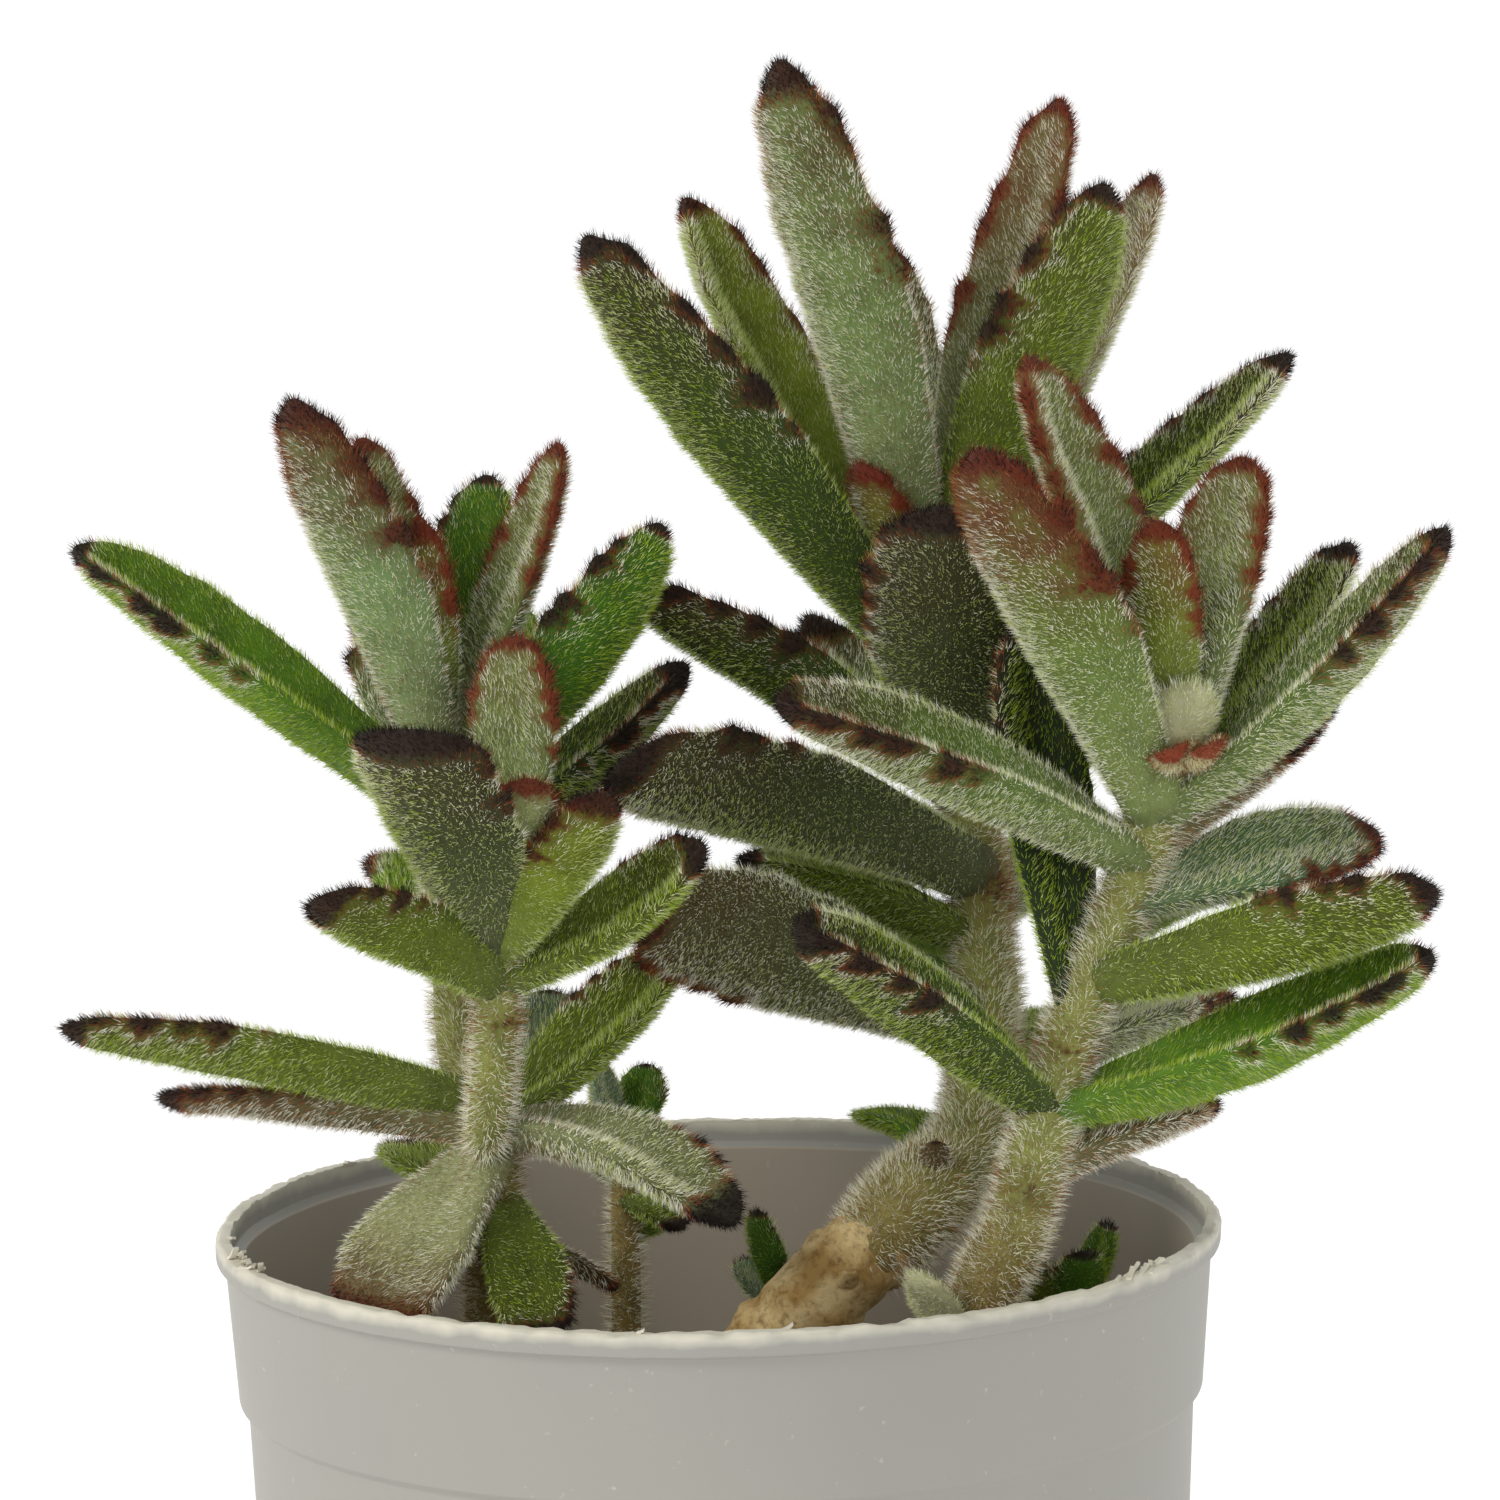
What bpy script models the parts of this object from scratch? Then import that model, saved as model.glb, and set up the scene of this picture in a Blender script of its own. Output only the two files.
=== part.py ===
"""Panda plant with four leafy stems and three offsets, growing in a round plastic nursery pot.

Millimetres in the tables, metres in the meshes. Origin at the centre of the pot's underside,
+Z up, the side that is looked at facing -Y, +X to its right.
"""
import math

import bmesh
import bpy
from mathutils import Vector, noise

MM = 0.001
GAP = 0.3  # clearance between pieces that touch
SEAT_SWELL = 0.5  # how far a seat is cut back, which leaves about the gap in its hollows

# Pot
POT_HEIGHT = 92.0
RIM_RADIUS = 50.1
LIP_HEIGHT = 2.6
COLLAR_HEIGHT = 17.0
COLLAR_TOP_RADIUS = 49.2
COLLAR_LOW_RADIUS = 48.2
BODY_TOP_RADIUS = 47.3
BASE_RADIUS = 44.2
WALL = 1.6
WALL_THICKENING = 1.0  # from the collar down to the floor
FLOOR = 2.5
EDGE = 0.4
POT_SIDES = 60
DRAIN_COUNT = 6
DRAIN_RADIUS = 4.0
DRAIN_CIRCLE = 28.0

# Soil
SOIL_DEPTH = 24.0  # below the rim
SOIL_RINGS = 4
SOIL_SIDES = 30
SOIL_BUMP = 0.9
SOIL_GRAIN = 0.16  # bumps per millimetre
SOIL_FOOT = 1.6  # the soil is rounded off this much above the pot's inside corner
HOLE_CLEARANCE = 0.35

# Leaves, whose section is (across, up) from the right edge over the upper face and back under the keel,
# in shares of the half width and of the thickness
LEAF_SECTION = (
    (1.0, 0.08), (0.55, 0.36), (0.0, 0.40), (-0.55, 0.36),
    (-1.0, 0.08), (-0.62, -0.38), (0.0, -0.60), (0.62, -0.38),
)
CHANNEL = 0.16  # depth of the hollow along the upper face, share of the thickness
TIP_THINNING = 0.45
TIP_ROUNDNESS = 2.6
LEAF_RINGS = (0.0, 0.26, 0.50, 0.64, 0.74, 0.84, 0.94)  # shares of the length, teeth at 0.64 and 0.84
SMALL_LEAF_RINGS = (0.0, 0.40, 0.74, 0.92)
SMALL_LEAF = 6.0  # narrower leaves than this have the few rings
TOOTH_PITCH = 0.20
TOOTH_START = 0.64
TOOTH_DEPTH = 0.08
NECK = 0.50  # width at the root, share of the full width
WIDEST = 0.56
ROUND_FROM = 0.72
THICKNESS = 0.44  # share of the width
LEAST_THICKNESS = 3.3
SMALL_THICKNESS = 0.55
STEM_SIDES = 8

# A stem is a route of (x, y, z, radius).
LEFT_BACK_STEM = (
    (-22.2, -14.0, 62.0, 3.0), (-22.0, -14.0, 93.0, 2.8), (-22.2, -14.0, 104.5, 2.6),
    (-25.0, -11.0, 111.5, 2.0), (-25.5, -8.0, 119.0, 2.0), (-25.9, -6.0, 130.0, 2.2),
    (-25.8, -6.0, 140.0, 2.2),
)
LEFT_FRONT_STEM = (
    (-22.2, -14.8, 102.0, 1.8), (-22.0, -18.6, 104.8, 2.1), (-21.2, -20.2, 111.0, 2.1),
    (-20.5, -21.0, 122.0, 2.1), (-20.0, -21.0, 131.0, 2.0),
)
TRUNK = (
    (-10.0, -12.0, 61.0, 4.0), (-4.0, -12.3, 71.0, 4.3), (2.2, -13.0, 78.6, 4.5),
    (9.2, -13.0, 86.2, 4.6), (15.0, -11.8, 91.2, 4.5), (20.6, -9.6, 95.2, 4.2),
)
RIGHT_BACK_STEM = (
    (19.0, -10.2, 94.0, 3.6), (23.6, -7.8, 98.2, 3.7), (26.0, -4.4, 103.6, 3.5),
    (27.2, 3.0, 113.0, 3.2), (26.8, 8.0, 125.0, 2.9), (25.2, 10.0, 136.0, 2.8),
    (22.6, 11.0, 148.0, 2.6), (22.3, 11.0, 155.0, 2.3),
)
RIGHT_FRONT_STEM = (
    (20.0, -22.5, 61.0, 3.2), (22.4, -23.0, 76.7, 3.2), (25.6, -24.0, 89.0, 3.2),
    (28.8, -24.0, 95.8, 3.1), (32.2, -22.0, 107.0, 2.8), (35.9, -20.0, 117.4, 2.6),
    (39.9, -18.0, 126.2, 2.5), (42.6, -18.0, 134.4, 2.4), (45.3, -18.0, 141.0, 2.2),
)
BACK_OFFSET_STEM = ((-10.4, 14.0, 61.0, 1.6), (-9.7, 15.0, 80.6, 1.5), (-9.8, 18.0, 97.0, 1.4))
MIDDLE_OFFSET_STEM = ((5.9, 18.0, 61.0, 1.7), (6.7, 18.0, 80.0, 1.5))
RIGHT_OFFSET_STEM = ((34.1, 4.0, 61.0, 1.8), (34.8, 4.0, 81.0, 1.6))

# A leaf is (height of its root on the stem, reach right, back and up, width, turn, bow).
# Turn is in degrees, towards the front where positive. Bow curves the leaf in towards the stem's tip.
LEFT_BACK_LEAVES = (
    # upper rosette
    (134.0, -35.5, -4.0, 27.0, 9.5, 35, -1.5), (137.0, -11.5, -6.0, 38.5, 11.0, -25, 0.5),
    (138.0, -6.5, 5.5, 33.5, 9.0, 0, 0.0), (138.5, -2.0, -3.5, 24.5, 6.0, 0, 0.0),
    (138.0, 3.5, 11.0, 29.0, 8.5, 0, 0.0), (137.5, 11.0, 3.0, 33.0, 8.5, 15, 0.5),
    (134.5, 20.5, -2.5, 29.5, 10.0, -45, 2.5), (129.5, 24.0, 4.0, 18.0, 8.5, 15, 1.0),
    # rear of the upper rosette
    (136.0, -7.5, 23.0, 17.5, 9.5, 0, 1.0), (133.0, 5.0, 25.0, 19.0, 9.5, 0, 1.0),
    (129.0, -1.0, 28.5, 7.0, 9.5, 0, -1.0), (122.0, -6.5, 22.0, 4.5, 9.0, 0, -1.0),
    # low leaves round the fork
    (107.0, -39.5, -6.5, 9.0, 9.5, -20, -1.0), (104.5, -32.5, 5.5, 2.5, 8.5, -15, -1.0),
    (106.0, 18.0, 10.5, 16.5, 9.0, 45, 1.0), (104.0, 25.0, -14.0, -4.5, 10.0, 5, -3.0),
    (101.0, -11.5, -10.0, -15.5, 13.0, 10, -2.0), (99.0, 5.5, -11.5, -13.0, 8.0, 0, -1.0),
    (106.0, 6.0, 18.5, 8.5, 9.0, 0, 1.0), (97.0, -9.5, 17.0, 3.5, 9.0, 0, -1.0),
    (94.5, 11.5, 6.5, -6.5, 4.5, 0, -1.5),
)
LEFT_FRONT_LEAVES = (
    (130.0, 3.0, 7.0, 22.5, 8.5, 0, -0.5), (122.5, -6.0, -14.5, 24.5, 13.5, 0, 2.0),
    (125.5, 3.0, -6.0, 15.5, 7.0, 0, 0.5), (124.0, 9.5, -6.0, 15.5, 9.5, -15, 1.5),
    (121.0, -15.5, -11.0, 10.5, 9.5, -30, 0.0), (120.0, 20.0, -3.5, 13.5, 9.0, 35, 1.5),
)
RIGHT_BACK_LEAVES = (
    # top rosette
    (145.0, -33.0, -9.0, 46.5, 11.0, -45, 3.0), (147.0, -23.5, 13.0, 46.5, 10.0, 20, 1.5),
    (151.0, -11.8, -8.5, 56.0, 12.0, 0, 1.0), (151.5, 12.5, 12.5, 51.0, 10.0, 0, 0.5),
    (150.0, 15.8, -1.5, 45.0, 11.5, -55, 2.0), (148.5, 23.0, 15.0, 46.0, 9.5, 0, 1.0),
    (143.5, 35.5, 7.5, 32.0, 10.0, 15, 0.5), (148.0, -6.5, -8.0, 19.0, 7.0, 0, 0.0),
    (135.0, -2.8, -22.0, 30.0, 14.5, 0, 3.0),
    # rear of the top rosette
    (147.0, -5.5, 23.0, 41.0, 11.0, 0, 1.0), (144.0, 8.5, 25.0, 34.0, 11.0, 0, 1.0),
    (140.0, 14.5, 25.5, 18.0, 10.5, 0, 1.0), (137.0, -5.0, 28.0, 17.0, 10.5, 0, 1.0),
    (130.0, 24.0, 25.0, 15.5, 10.5, 0, 0.5),
    # down the stem, on the left
    (133.0, -33.0, -6.5, 22.5, 9.5, -35, -1.0), (134.5, -14.5, 14.0, 15.5, 9.5, 0, 1.0),
    (124.5, -35.0, -28.5, 16.0, 13.5, -40, -1.5), (110.0, -33.5, -16.0, 15.0, 13.5, -60, -3.0),
    (119.5, -24.5, 0.0, 8.5, 9.0, 0, -1.0), (98.5, -8.5, 15.0, 2.0, 5.5, 0, -1.5),
    # down the stem, at the rear
    (126.0, -21.5, 21.5, 4.0, 10.0, 0, -1.0), (120.0, 12.5, 30.0, 3.0, 10.5, 0, -1.0),
    (114.0, -18.5, 22.5, 2.0, 10.0, 0, -1.0), (108.0, 15.5, 30.0, -3.5, 10.0, 0, -1.5),
)
RIGHT_FRONT_LEAVES = (
    # rosette
    (135.5, -15.0, -11.5, 35.5, 13.5, -10, 1.5), (138.0, -11.0, 8.5, 40.0, 11.5, 0, -0.5),
    (139.0, -1.8, -3.5, 24.0, 7.5, 0, 0.0), (139.0, 7.0, 6.5, 29.0, 10.0, 0, 0.0),
    (134.5, 28.5, -2.0, 27.0, 9.5, 20, 1.0), (137.0, 19.5, 14.0, 22.0, 9.0, 0, 0.5),
    (138.0, 2.0, -5.0, 5.5, 6.5, 0, 0.5),
    # down the stem
    (132.0, 19.0, 11.0, 12.0, 9.0, 0, 0.0), (126.5, 25.5, 10.0, 4.5, 10.5, 30, -1.0),
    (119.0, 32.0, -8.5, 10.0, 10.5, -45, 1.5), (107.5, 36.5, -4.5, 14.5, 10.5, 25, 1.0),
    (102.0, 18.0, 13.0, 3.5, 9.5, 0, -1.0), (130.0, -34.5, -13.5, 17.0, 11.0, 40, -2.0),
    (116.0, -5.0, 9.5, 37.0, 9.5, 0, 0.5), (107.0, -24.0, -12.0, 20.0, 10.5, 40, -1.5),
    # at the rear
    (131.0, 11.0, 20.0, 18.0, 10.0, 0, 0.0), (124.0, 15.0, 24.0, 3.5, 10.0, 0, -1.0),
    (112.0, 16.0, 27.0, 0.0, 10.0, 0, -1.0),
)
BACK_OFFSET_LEAVES = (
    (96.0, -2.5, 1.0, 9.0, 5.5, 0, 0.0), (95.0, 3.0, 5.0, 8.0, 5.5, 0, 0.0),
    (92.0, -6.5, 5.0, 3.0, 5.5, 0, -0.5), (90.0, 6.0, -5.5, -1.5, 5.0, 0, -1.0),
    (88.0, 5.0, 7.0, 1.0, 5.5, 0, -0.5),
)
MIDDLE_OFFSET_LEAVES = (
    (79.0, -2.5, -1.5, 9.0, 5.0, 0, 0.5), (78.5, 2.5, -4.0, 7.5, 5.0, 0, 0.5),
    (78.0, 5.0, 3.5, 6.5, 5.0, 0, 0.5), (77.0, -4.5, 4.0, 5.0, 5.0, 0, 0.0),
)
RIGHT_OFFSET_LEAVES = (
    (80.0, 4.5, 1.5, 8.5, 5.5, 0, 0.5), (79.0, -3.5, -3.0, 9.0, 5.5, 0, 0.5),
    (79.0, 1.8, -5.0, 9.5, 5.5, 0, 0.5), (78.0, -2.5, 6.0, 6.0, 5.5, 0, 0.0),
)

# colour, roughness
FINISHES = {
    "pot": ((0.47, 0.45, 0.41), 0.55),
    "soil": ((0.06, 0.045, 0.033), 0.95),
    "bark": ((0.33, 0.20, 0.09), 0.85),
    "leaf": ((0.25, 0.33, 0.15), 0.9),
}


def finish(name):
    colour, roughness = FINISHES[name]
    material = bpy.data.materials.get(name) or bpy.data.materials.new(name)
    material.use_nodes = True
    shader = material.node_tree.nodes["Principled BSDF"]
    shader.inputs["Base Color"].default_value = (*colour, 1.0)
    shader.inputs["Roughness"].default_value = roughness
    shader.inputs["Metallic"].default_value = 0.0
    return material


def add_object(name, bm, material):
    bmesh.ops.recalc_face_normals(bm, faces=bm.faces)
    mesh = bpy.data.meshes.new(name)
    bm.to_mesh(mesh)
    bm.free()
    mesh.materials.append(finish(material))
    thing = bpy.data.objects.new(name, mesh)
    bpy.context.scene.collection.objects.link(thing)
    return thing


def shade(thing):
    thing.data.shade_smooth()
    thing.data.set_sharp_from_angle(angle=math.radians(40))


def body_radius(z):
    """Outside radius of the pot's body, below its collar."""
    top = POT_HEIGHT - COLLAR_HEIGHT
    return BASE_RADIUS + (BODY_TOP_RADIUS - BASE_RADIUS) * min(z, top) / top


def pot_profile():
    """Half section of the pot as (radius, height), up the outside and down the inside."""
    lip = POT_HEIGHT - LIP_HEIGHT
    step = POT_HEIGHT - COLLAR_HEIGHT
    inner_top = COLLAR_TOP_RADIUS - WALL
    return (
        (BASE_RADIUS - EDGE, 0.0), (BASE_RADIUS, EDGE),
        (BODY_TOP_RADIUS, step - EDGE), (COLLAR_LOW_RADIUS, step + EDGE),
        (COLLAR_TOP_RADIUS, lip), (RIM_RADIUS, lip + EDGE),
        (RIM_RADIUS, POT_HEIGHT - EDGE), (RIM_RADIUS - EDGE, POT_HEIGHT),
        (inner_top + 1.0, POT_HEIGHT), (inner_top + 0.9, lip + 0.3), (inner_top - 0.1, lip - 0.2),
        (COLLAR_LOW_RADIUS - WALL, step + 1.0), (BODY_TOP_RADIUS - WALL, step - 1.0),
        (body_radius(FLOOR) - WALL - WALL_THICKENING, FLOOR + 0.8),
        (body_radius(FLOOR) - WALL - WALL_THICKENING - 0.8, FLOOR),
    )


def ring(bm, radius, z, sides):
    angles = (2 * math.pi * i / sides for i in range(sides))
    return [bm.verts.new(Vector((radius * math.cos(a), radius * math.sin(a), z)) * MM) for a in angles]


def bridge(bm, one, two):
    count = len(one)
    for i in range(count):
        j = (i + 1) % count
        bm.faces.new((one[i], one[j], two[j], two[i]))


def cap(bm, loop, centre):
    middle = bm.verts.new(centre)
    for i, corner in enumerate(loop):
        bm.faces.new((corner, loop[(i + 1) % len(loop)], middle))


def turned(profile, sides):
    """A closed turned body from a half section, capped flat at both ends."""
    bm = bmesh.new()
    loops = [ring(bm, radius, z, sides) for radius, z in profile]
    for one, two in zip(loops, loops[1:]):
        bridge(bm, one, two)
    cap(bm, loops[0], Vector((0, 0, profile[0][1])) * MM)
    cap(bm, loops[-1], Vector((0, 0, profile[-1][1])) * MM)
    return bm


def cutter(name, bm):
    thing = add_object(name, bm, "soil")
    thing.hide_render = True
    thing.display_type = "WIRE"
    return thing


def apply_boolean(thing, operands, operation):
    """One Boolean with a collection, applied, whose objects are then removed."""
    group = bpy.data.collections.new(thing.name + "_operands")
    bpy.context.scene.collection.children.link(group)
    for operand in operands:
        bpy.context.scene.collection.objects.unlink(operand)
        group.objects.link(operand)
    step = thing.modifiers.new("join", "BOOLEAN")
    step.operand_type = "COLLECTION"
    step.collection = group
    step.operation = operation
    step.solver = "EXACT"
    bpy.context.view_layer.update()
    result = bpy.data.meshes.new_from_object(thing.evaluated_get(bpy.context.evaluated_depsgraph_get()))
    thing.modifiers.remove(step)
    thing.data = result
    for operand in operands:
        bpy.data.objects.remove(operand)
    bpy.data.collections.remove(group)
    keep_largest(thing)


def keep_largest(thing):
    """Drops loose scraps and the shells of sealed hollows, and merges points closer than 1 micron."""
    bm = bmesh.new()
    bm.from_mesh(thing.data)
    bmesh.ops.triangulate(bm, faces=bm.faces)
    bmesh.ops.dissolve_degenerate(bm, edges=bm.edges, dist=1e-6)
    bmesh.ops.triangulate(bm, faces=bm.faces)
    unseen = set(bm.verts)
    shells = []
    while unseen:
        shell = [unseen.pop()]
        for vertex in shell:
            for edge in vertex.link_edges:
                other = edge.other_vert(vertex)
                if other in unseen:
                    unseen.remove(other)
                    shell.append(other)
        shells.append(shell)
    shells.sort(key=len)
    loose = [vertex for shell in shells[:-1] for vertex in shell]
    bmesh.ops.delete(bm, geom=loose, context="VERTS")
    bm.to_mesh(thing.data)
    bm.free()


def make_pot():
    pot = add_object("pot", turned(pot_profile(), POT_SIDES), "pot")
    drains = []
    for i in range(DRAIN_COUNT):
        angle = 2 * math.pi * (i + 0.5) / DRAIN_COUNT
        bm = bmesh.new()
        bmesh.ops.create_cone(bm, cap_ends=True, segments=16, radius1=DRAIN_RADIUS * MM,
                              radius2=DRAIN_RADIUS * MM, depth=4 * FLOOR * MM)
        centre = Vector((DRAIN_CIRCLE * math.cos(angle), DRAIN_CIRCLE * math.sin(angle), 0.0))
        bmesh.ops.translate(bm, verts=bm.verts, vec=centre * MM)
        drains.append(cutter(f"drain_{i}", bm))
    apply_boolean(pot, drains, "DIFFERENCE")
    shade(pot)


def soil_radius(z):
    """The soil fills the pot to a small gap, which allows for the flats between the pot's sides."""
    return body_radius(z) - WALL - GAP - 0.1


def make_soil(stems):
    """Filled pot up to the soil's loose top, with a plain hole round each stem."""
    top = POT_HEIGHT - SOIL_DEPTH
    low = FLOOR + GAP
    bm = bmesh.new()
    foot = soil_radius(low) - WALL_THICKENING
    section = [(foot - SOIL_FOOT, low), (foot, low + SOIL_FOOT),
               (soil_radius(top), top - SOIL_BUMP)]
    section += [((soil_radius(top) - SOIL_BUMP) * (1 - i / SOIL_RINGS), top) for i in range(SOIL_RINGS)]
    loops = [ring(bm, radius, z, SOIL_SIDES) for radius, z in section]
    for one, two in zip(loops, loops[1:]):
        bridge(bm, one, two)
    cap(bm, loops[0], Vector((0, 0, low)) * MM)
    cap(bm, loops[-1], Vector((0, 0, top)) * MM)
    for vertex in bm.verts:
        if vertex.co.z > (top - 0.1) * MM:
            vertex.co.z += noise.noise(vertex.co / MM * SOIL_GRAIN) * SOIL_BUMP * MM
    soil = add_object("soil", bm, "soil")
    holes = []
    for i, stem in enumerate(stems):
        buried = [Vector(knot) + Vector((0, 0, 0, HOLE_CLEARANCE)) for knot in stem[:3]]
        buried[0] -= Vector((0, 0, GAP, 0))
        holes.append(cutter(f"hole_{i}", tube(buried, 3)))
    apply_boolean(soil, holes, "DIFFERENCE")
    shade(soil)


def along(route, steps):
    """Points of a smooth curve through the route, with the radius carried as a fourth value."""
    knots = [Vector(point) for point in route]
    points = []
    for i in range(len(knots) - 1):
        before, start = knots[max(i - 1, 0)], knots[i]
        end, after = knots[i + 1], knots[min(i + 2, len(knots) - 1)]
        for k in range(steps):
            t = k / steps
            points.append(0.5 * (2 * start + (end - before) * t
                                 + (2 * before - 5 * start + 4 * end - after) * t ** 2
                                 + (3 * start - before - 3 * end + after) * t ** 3))
    points.append(knots[-1])
    return points


def tube(route, steps):
    """A closed round body along a route, with flat ends."""
    points = along(route, steps)
    bm = bmesh.new()
    side = Vector((1, 0, 0))
    loops = []
    for i, point in enumerate(points):
        way = (points[min(i + 1, len(points) - 1)] - points[max(i - 1, 0)]).to_3d().normalized()
        side = (side - way * side.dot(way)).normalized()
        other = way.cross(side)
        loop = []
        for k in range(STEM_SIDES):
            angle = 2 * math.pi * k / STEM_SIDES
            offset = (side * math.cos(angle) + other * math.sin(angle)) * point[3]
            loop.append(bm.verts.new((point.to_3d() + offset) * MM))
        loops.append(loop)
    for one, two in zip(loops, loops[1:]):
        bridge(bm, one, two)
    cap(bm, loops[0], points[0].to_3d() * MM)
    cap(bm, loops[-1], points[-1].to_3d() * MM)
    return bm


def stem_point(route, height):
    """The middle of the stem at a height."""
    points = along(route, 6)
    return min(points, key=lambda point: abs(point[2] - height)).to_3d()


def ease(t):
    t = min(max(t, 0.0), 1.0)
    return t * t * (3 - 2 * t)


def half_width(s, width):
    """Half of the blade's width at a share of its length: narrow root, blunt toothed tip."""
    shape = NECK + (1 - NECK) * ease(s / WIDEST)
    if s > ROUND_FROM:
        shape *= max(0.0, 1 - ((s - ROUND_FROM) / (1 - ROUND_FROM)) ** TIP_ROUNDNESS) ** 0.5
    if s >= TOOTH_START:
        shape *= 1 + TOOTH_DEPTH * math.cos(2 * math.pi * (s - TOOTH_START) / TOOTH_PITCH)
    return 0.5 * width * shape


def blade_frame(reach, turn):
    """The direction that the upper face looks in. It starts as the side nearest the stem's tip."""
    way = reach.normalized()
    face = (Vector((0, 0, 1)) - way * way.z).normalized()
    angle = math.radians(turn) * (1 if reach.x >= 0 else -1)
    return face * math.cos(angle) + way.cross(face) * math.sin(angle)


def leaf(root, row):
    """A fleshy blade: hollowed upper face, round keel below, blunt teeth in the outer part."""
    reach, width, turn, bow = Vector(row[1:4]), row[4], row[5], row[6]
    least = LEAST_THICKNESS if width > SMALL_LEAF else SMALL_THICKNESS * width
    thick = max(least, THICKNESS * width)
    face = blade_frame(reach, turn)
    bm = bmesh.new()
    loops = []
    for s in SMALL_LEAF_RINGS if width < SMALL_LEAF else LEAF_RINGS:
        middle = root + reach * s - face * (4 * bow * s * (1 - s))
        way = (reach - face * (4 * bow * (1 - 2 * s))).normalized()
        up = (face - way * face.dot(way)).normalized()
        side = way.cross(up)
        half = half_width(s, width)
        body = thick * (1 - TIP_THINNING * ease((s - 0.45) / 0.55))
        channel = CHANNEL * thick * ease(s / 0.3) * (1 - ease((s - 0.75) / 0.25))
        loop = []
        for across, height in LEAF_SECTION:
            lift = height * body - (channel if across == 0.0 and height > 0 else 0.0)
            loop.append(bm.verts.new((middle + side * across * half + up * lift) * MM))
        loops.append(loop)
    for one, two in zip(loops, loops[1:]):
        bridge(bm, one, two)
    cap(bm, loops[0], root * MM)
    cap(bm, loops[-1], (root + reach) * MM)
    bmesh.ops.triangulate(bm, faces=bm.faces)
    return bm


def leafy_stem(name, route, leaves, steps=3):
    stem = add_object(name, tube(route, steps), "leaf")
    blades = [add_object(f"{name}_blade_{i}", leaf(stem_point(route, row[0]), row), "leaf")
              for i, row in enumerate(leaves)]
    apply_boolean(stem, blades, "UNION")
    shade(stem)
    return stem


def seat(thing, carrier):
    """Cuts a stem's foot to the shape of what it grows from, a small gap clear of it."""
    bm = bmesh.new()
    bm.from_mesh(carrier.data)
    bm.normal_update()
    for vertex in bm.verts:
        vertex.co += vertex.normal * (SEAT_SWELL * MM)
    swollen = cutter("swollen", bm)
    apply_boolean(thing, [swollen], "DIFFERENCE")
    shade(thing)


def make_trunk():
    trunk = add_object("woody_trunk", tube(TRUNK, 3), "bark")
    shade(trunk)
    return trunk


def clear_scene():
    for thing in list(bpy.data.objects):
        bpy.data.objects.remove(thing)


def main():
    clear_scene()
    make_pot()
    make_soil((LEFT_BACK_STEM, TRUNK, RIGHT_FRONT_STEM,
               BACK_OFFSET_STEM, MIDDLE_OFFSET_STEM, RIGHT_OFFSET_STEM))
    trunk = make_trunk()
    left_back = leafy_stem("left_back_shoot", LEFT_BACK_STEM, LEFT_BACK_LEAVES)
    left_front = leafy_stem("left_front_shoot", LEFT_FRONT_STEM, LEFT_FRONT_LEAVES)
    seat(left_front, left_back)
    right_back = leafy_stem("right_back_shoot", RIGHT_BACK_STEM, RIGHT_BACK_LEAVES)
    seat(right_back, trunk)
    leafy_stem("right_front_shoot", RIGHT_FRONT_STEM, RIGHT_FRONT_LEAVES)
    leafy_stem("back_offset", BACK_OFFSET_STEM, BACK_OFFSET_LEAVES, 2)
    leafy_stem("middle_offset", MIDDLE_OFFSET_STEM, MIDDLE_OFFSET_LEAVES, 2)
    leafy_stem("right_offset", RIGHT_OFFSET_STEM, RIGHT_OFFSET_LEAVES, 2)


main()
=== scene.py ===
import math

import bmesh
import bpy
import numpy as np
from mathutils import Matrix, Vector, noise


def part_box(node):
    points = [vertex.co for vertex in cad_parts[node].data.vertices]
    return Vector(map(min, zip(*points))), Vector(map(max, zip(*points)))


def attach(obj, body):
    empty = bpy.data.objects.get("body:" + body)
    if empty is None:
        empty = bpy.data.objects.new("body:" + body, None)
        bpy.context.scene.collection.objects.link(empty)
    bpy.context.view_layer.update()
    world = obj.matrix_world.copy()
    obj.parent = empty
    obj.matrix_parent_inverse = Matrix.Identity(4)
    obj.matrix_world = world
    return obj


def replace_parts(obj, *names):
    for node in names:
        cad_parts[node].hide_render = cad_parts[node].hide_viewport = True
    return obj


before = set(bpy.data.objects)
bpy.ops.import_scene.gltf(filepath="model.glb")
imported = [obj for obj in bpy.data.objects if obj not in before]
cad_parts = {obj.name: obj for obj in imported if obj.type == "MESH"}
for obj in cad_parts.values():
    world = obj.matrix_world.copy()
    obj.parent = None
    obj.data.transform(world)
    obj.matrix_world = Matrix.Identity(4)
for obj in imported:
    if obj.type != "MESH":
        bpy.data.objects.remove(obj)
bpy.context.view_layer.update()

# A panda plant with furry succulent leaves, in a moulded nursery pot. Tables are in millimetres,
# meshes in metres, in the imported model's own frame: origin under the pot, +Z up, front towards -Y.

MM = 0.001
POT_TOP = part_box("pot")[1][2] / MM
RIM_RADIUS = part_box("pot")[1][0] / MM

# The picture is 1500 across. The rim's middle sits at this pixel, and a long lens looks down a little.
IMAGE = 1500
RIM_PIXEL = (718, 1217)
CAMERA_DISTANCE = 600.0
LENS = 144.0
SENSOR = 36.0
PITCH = math.radians(7.9)
ROLL = math.radians(1.1)

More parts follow.
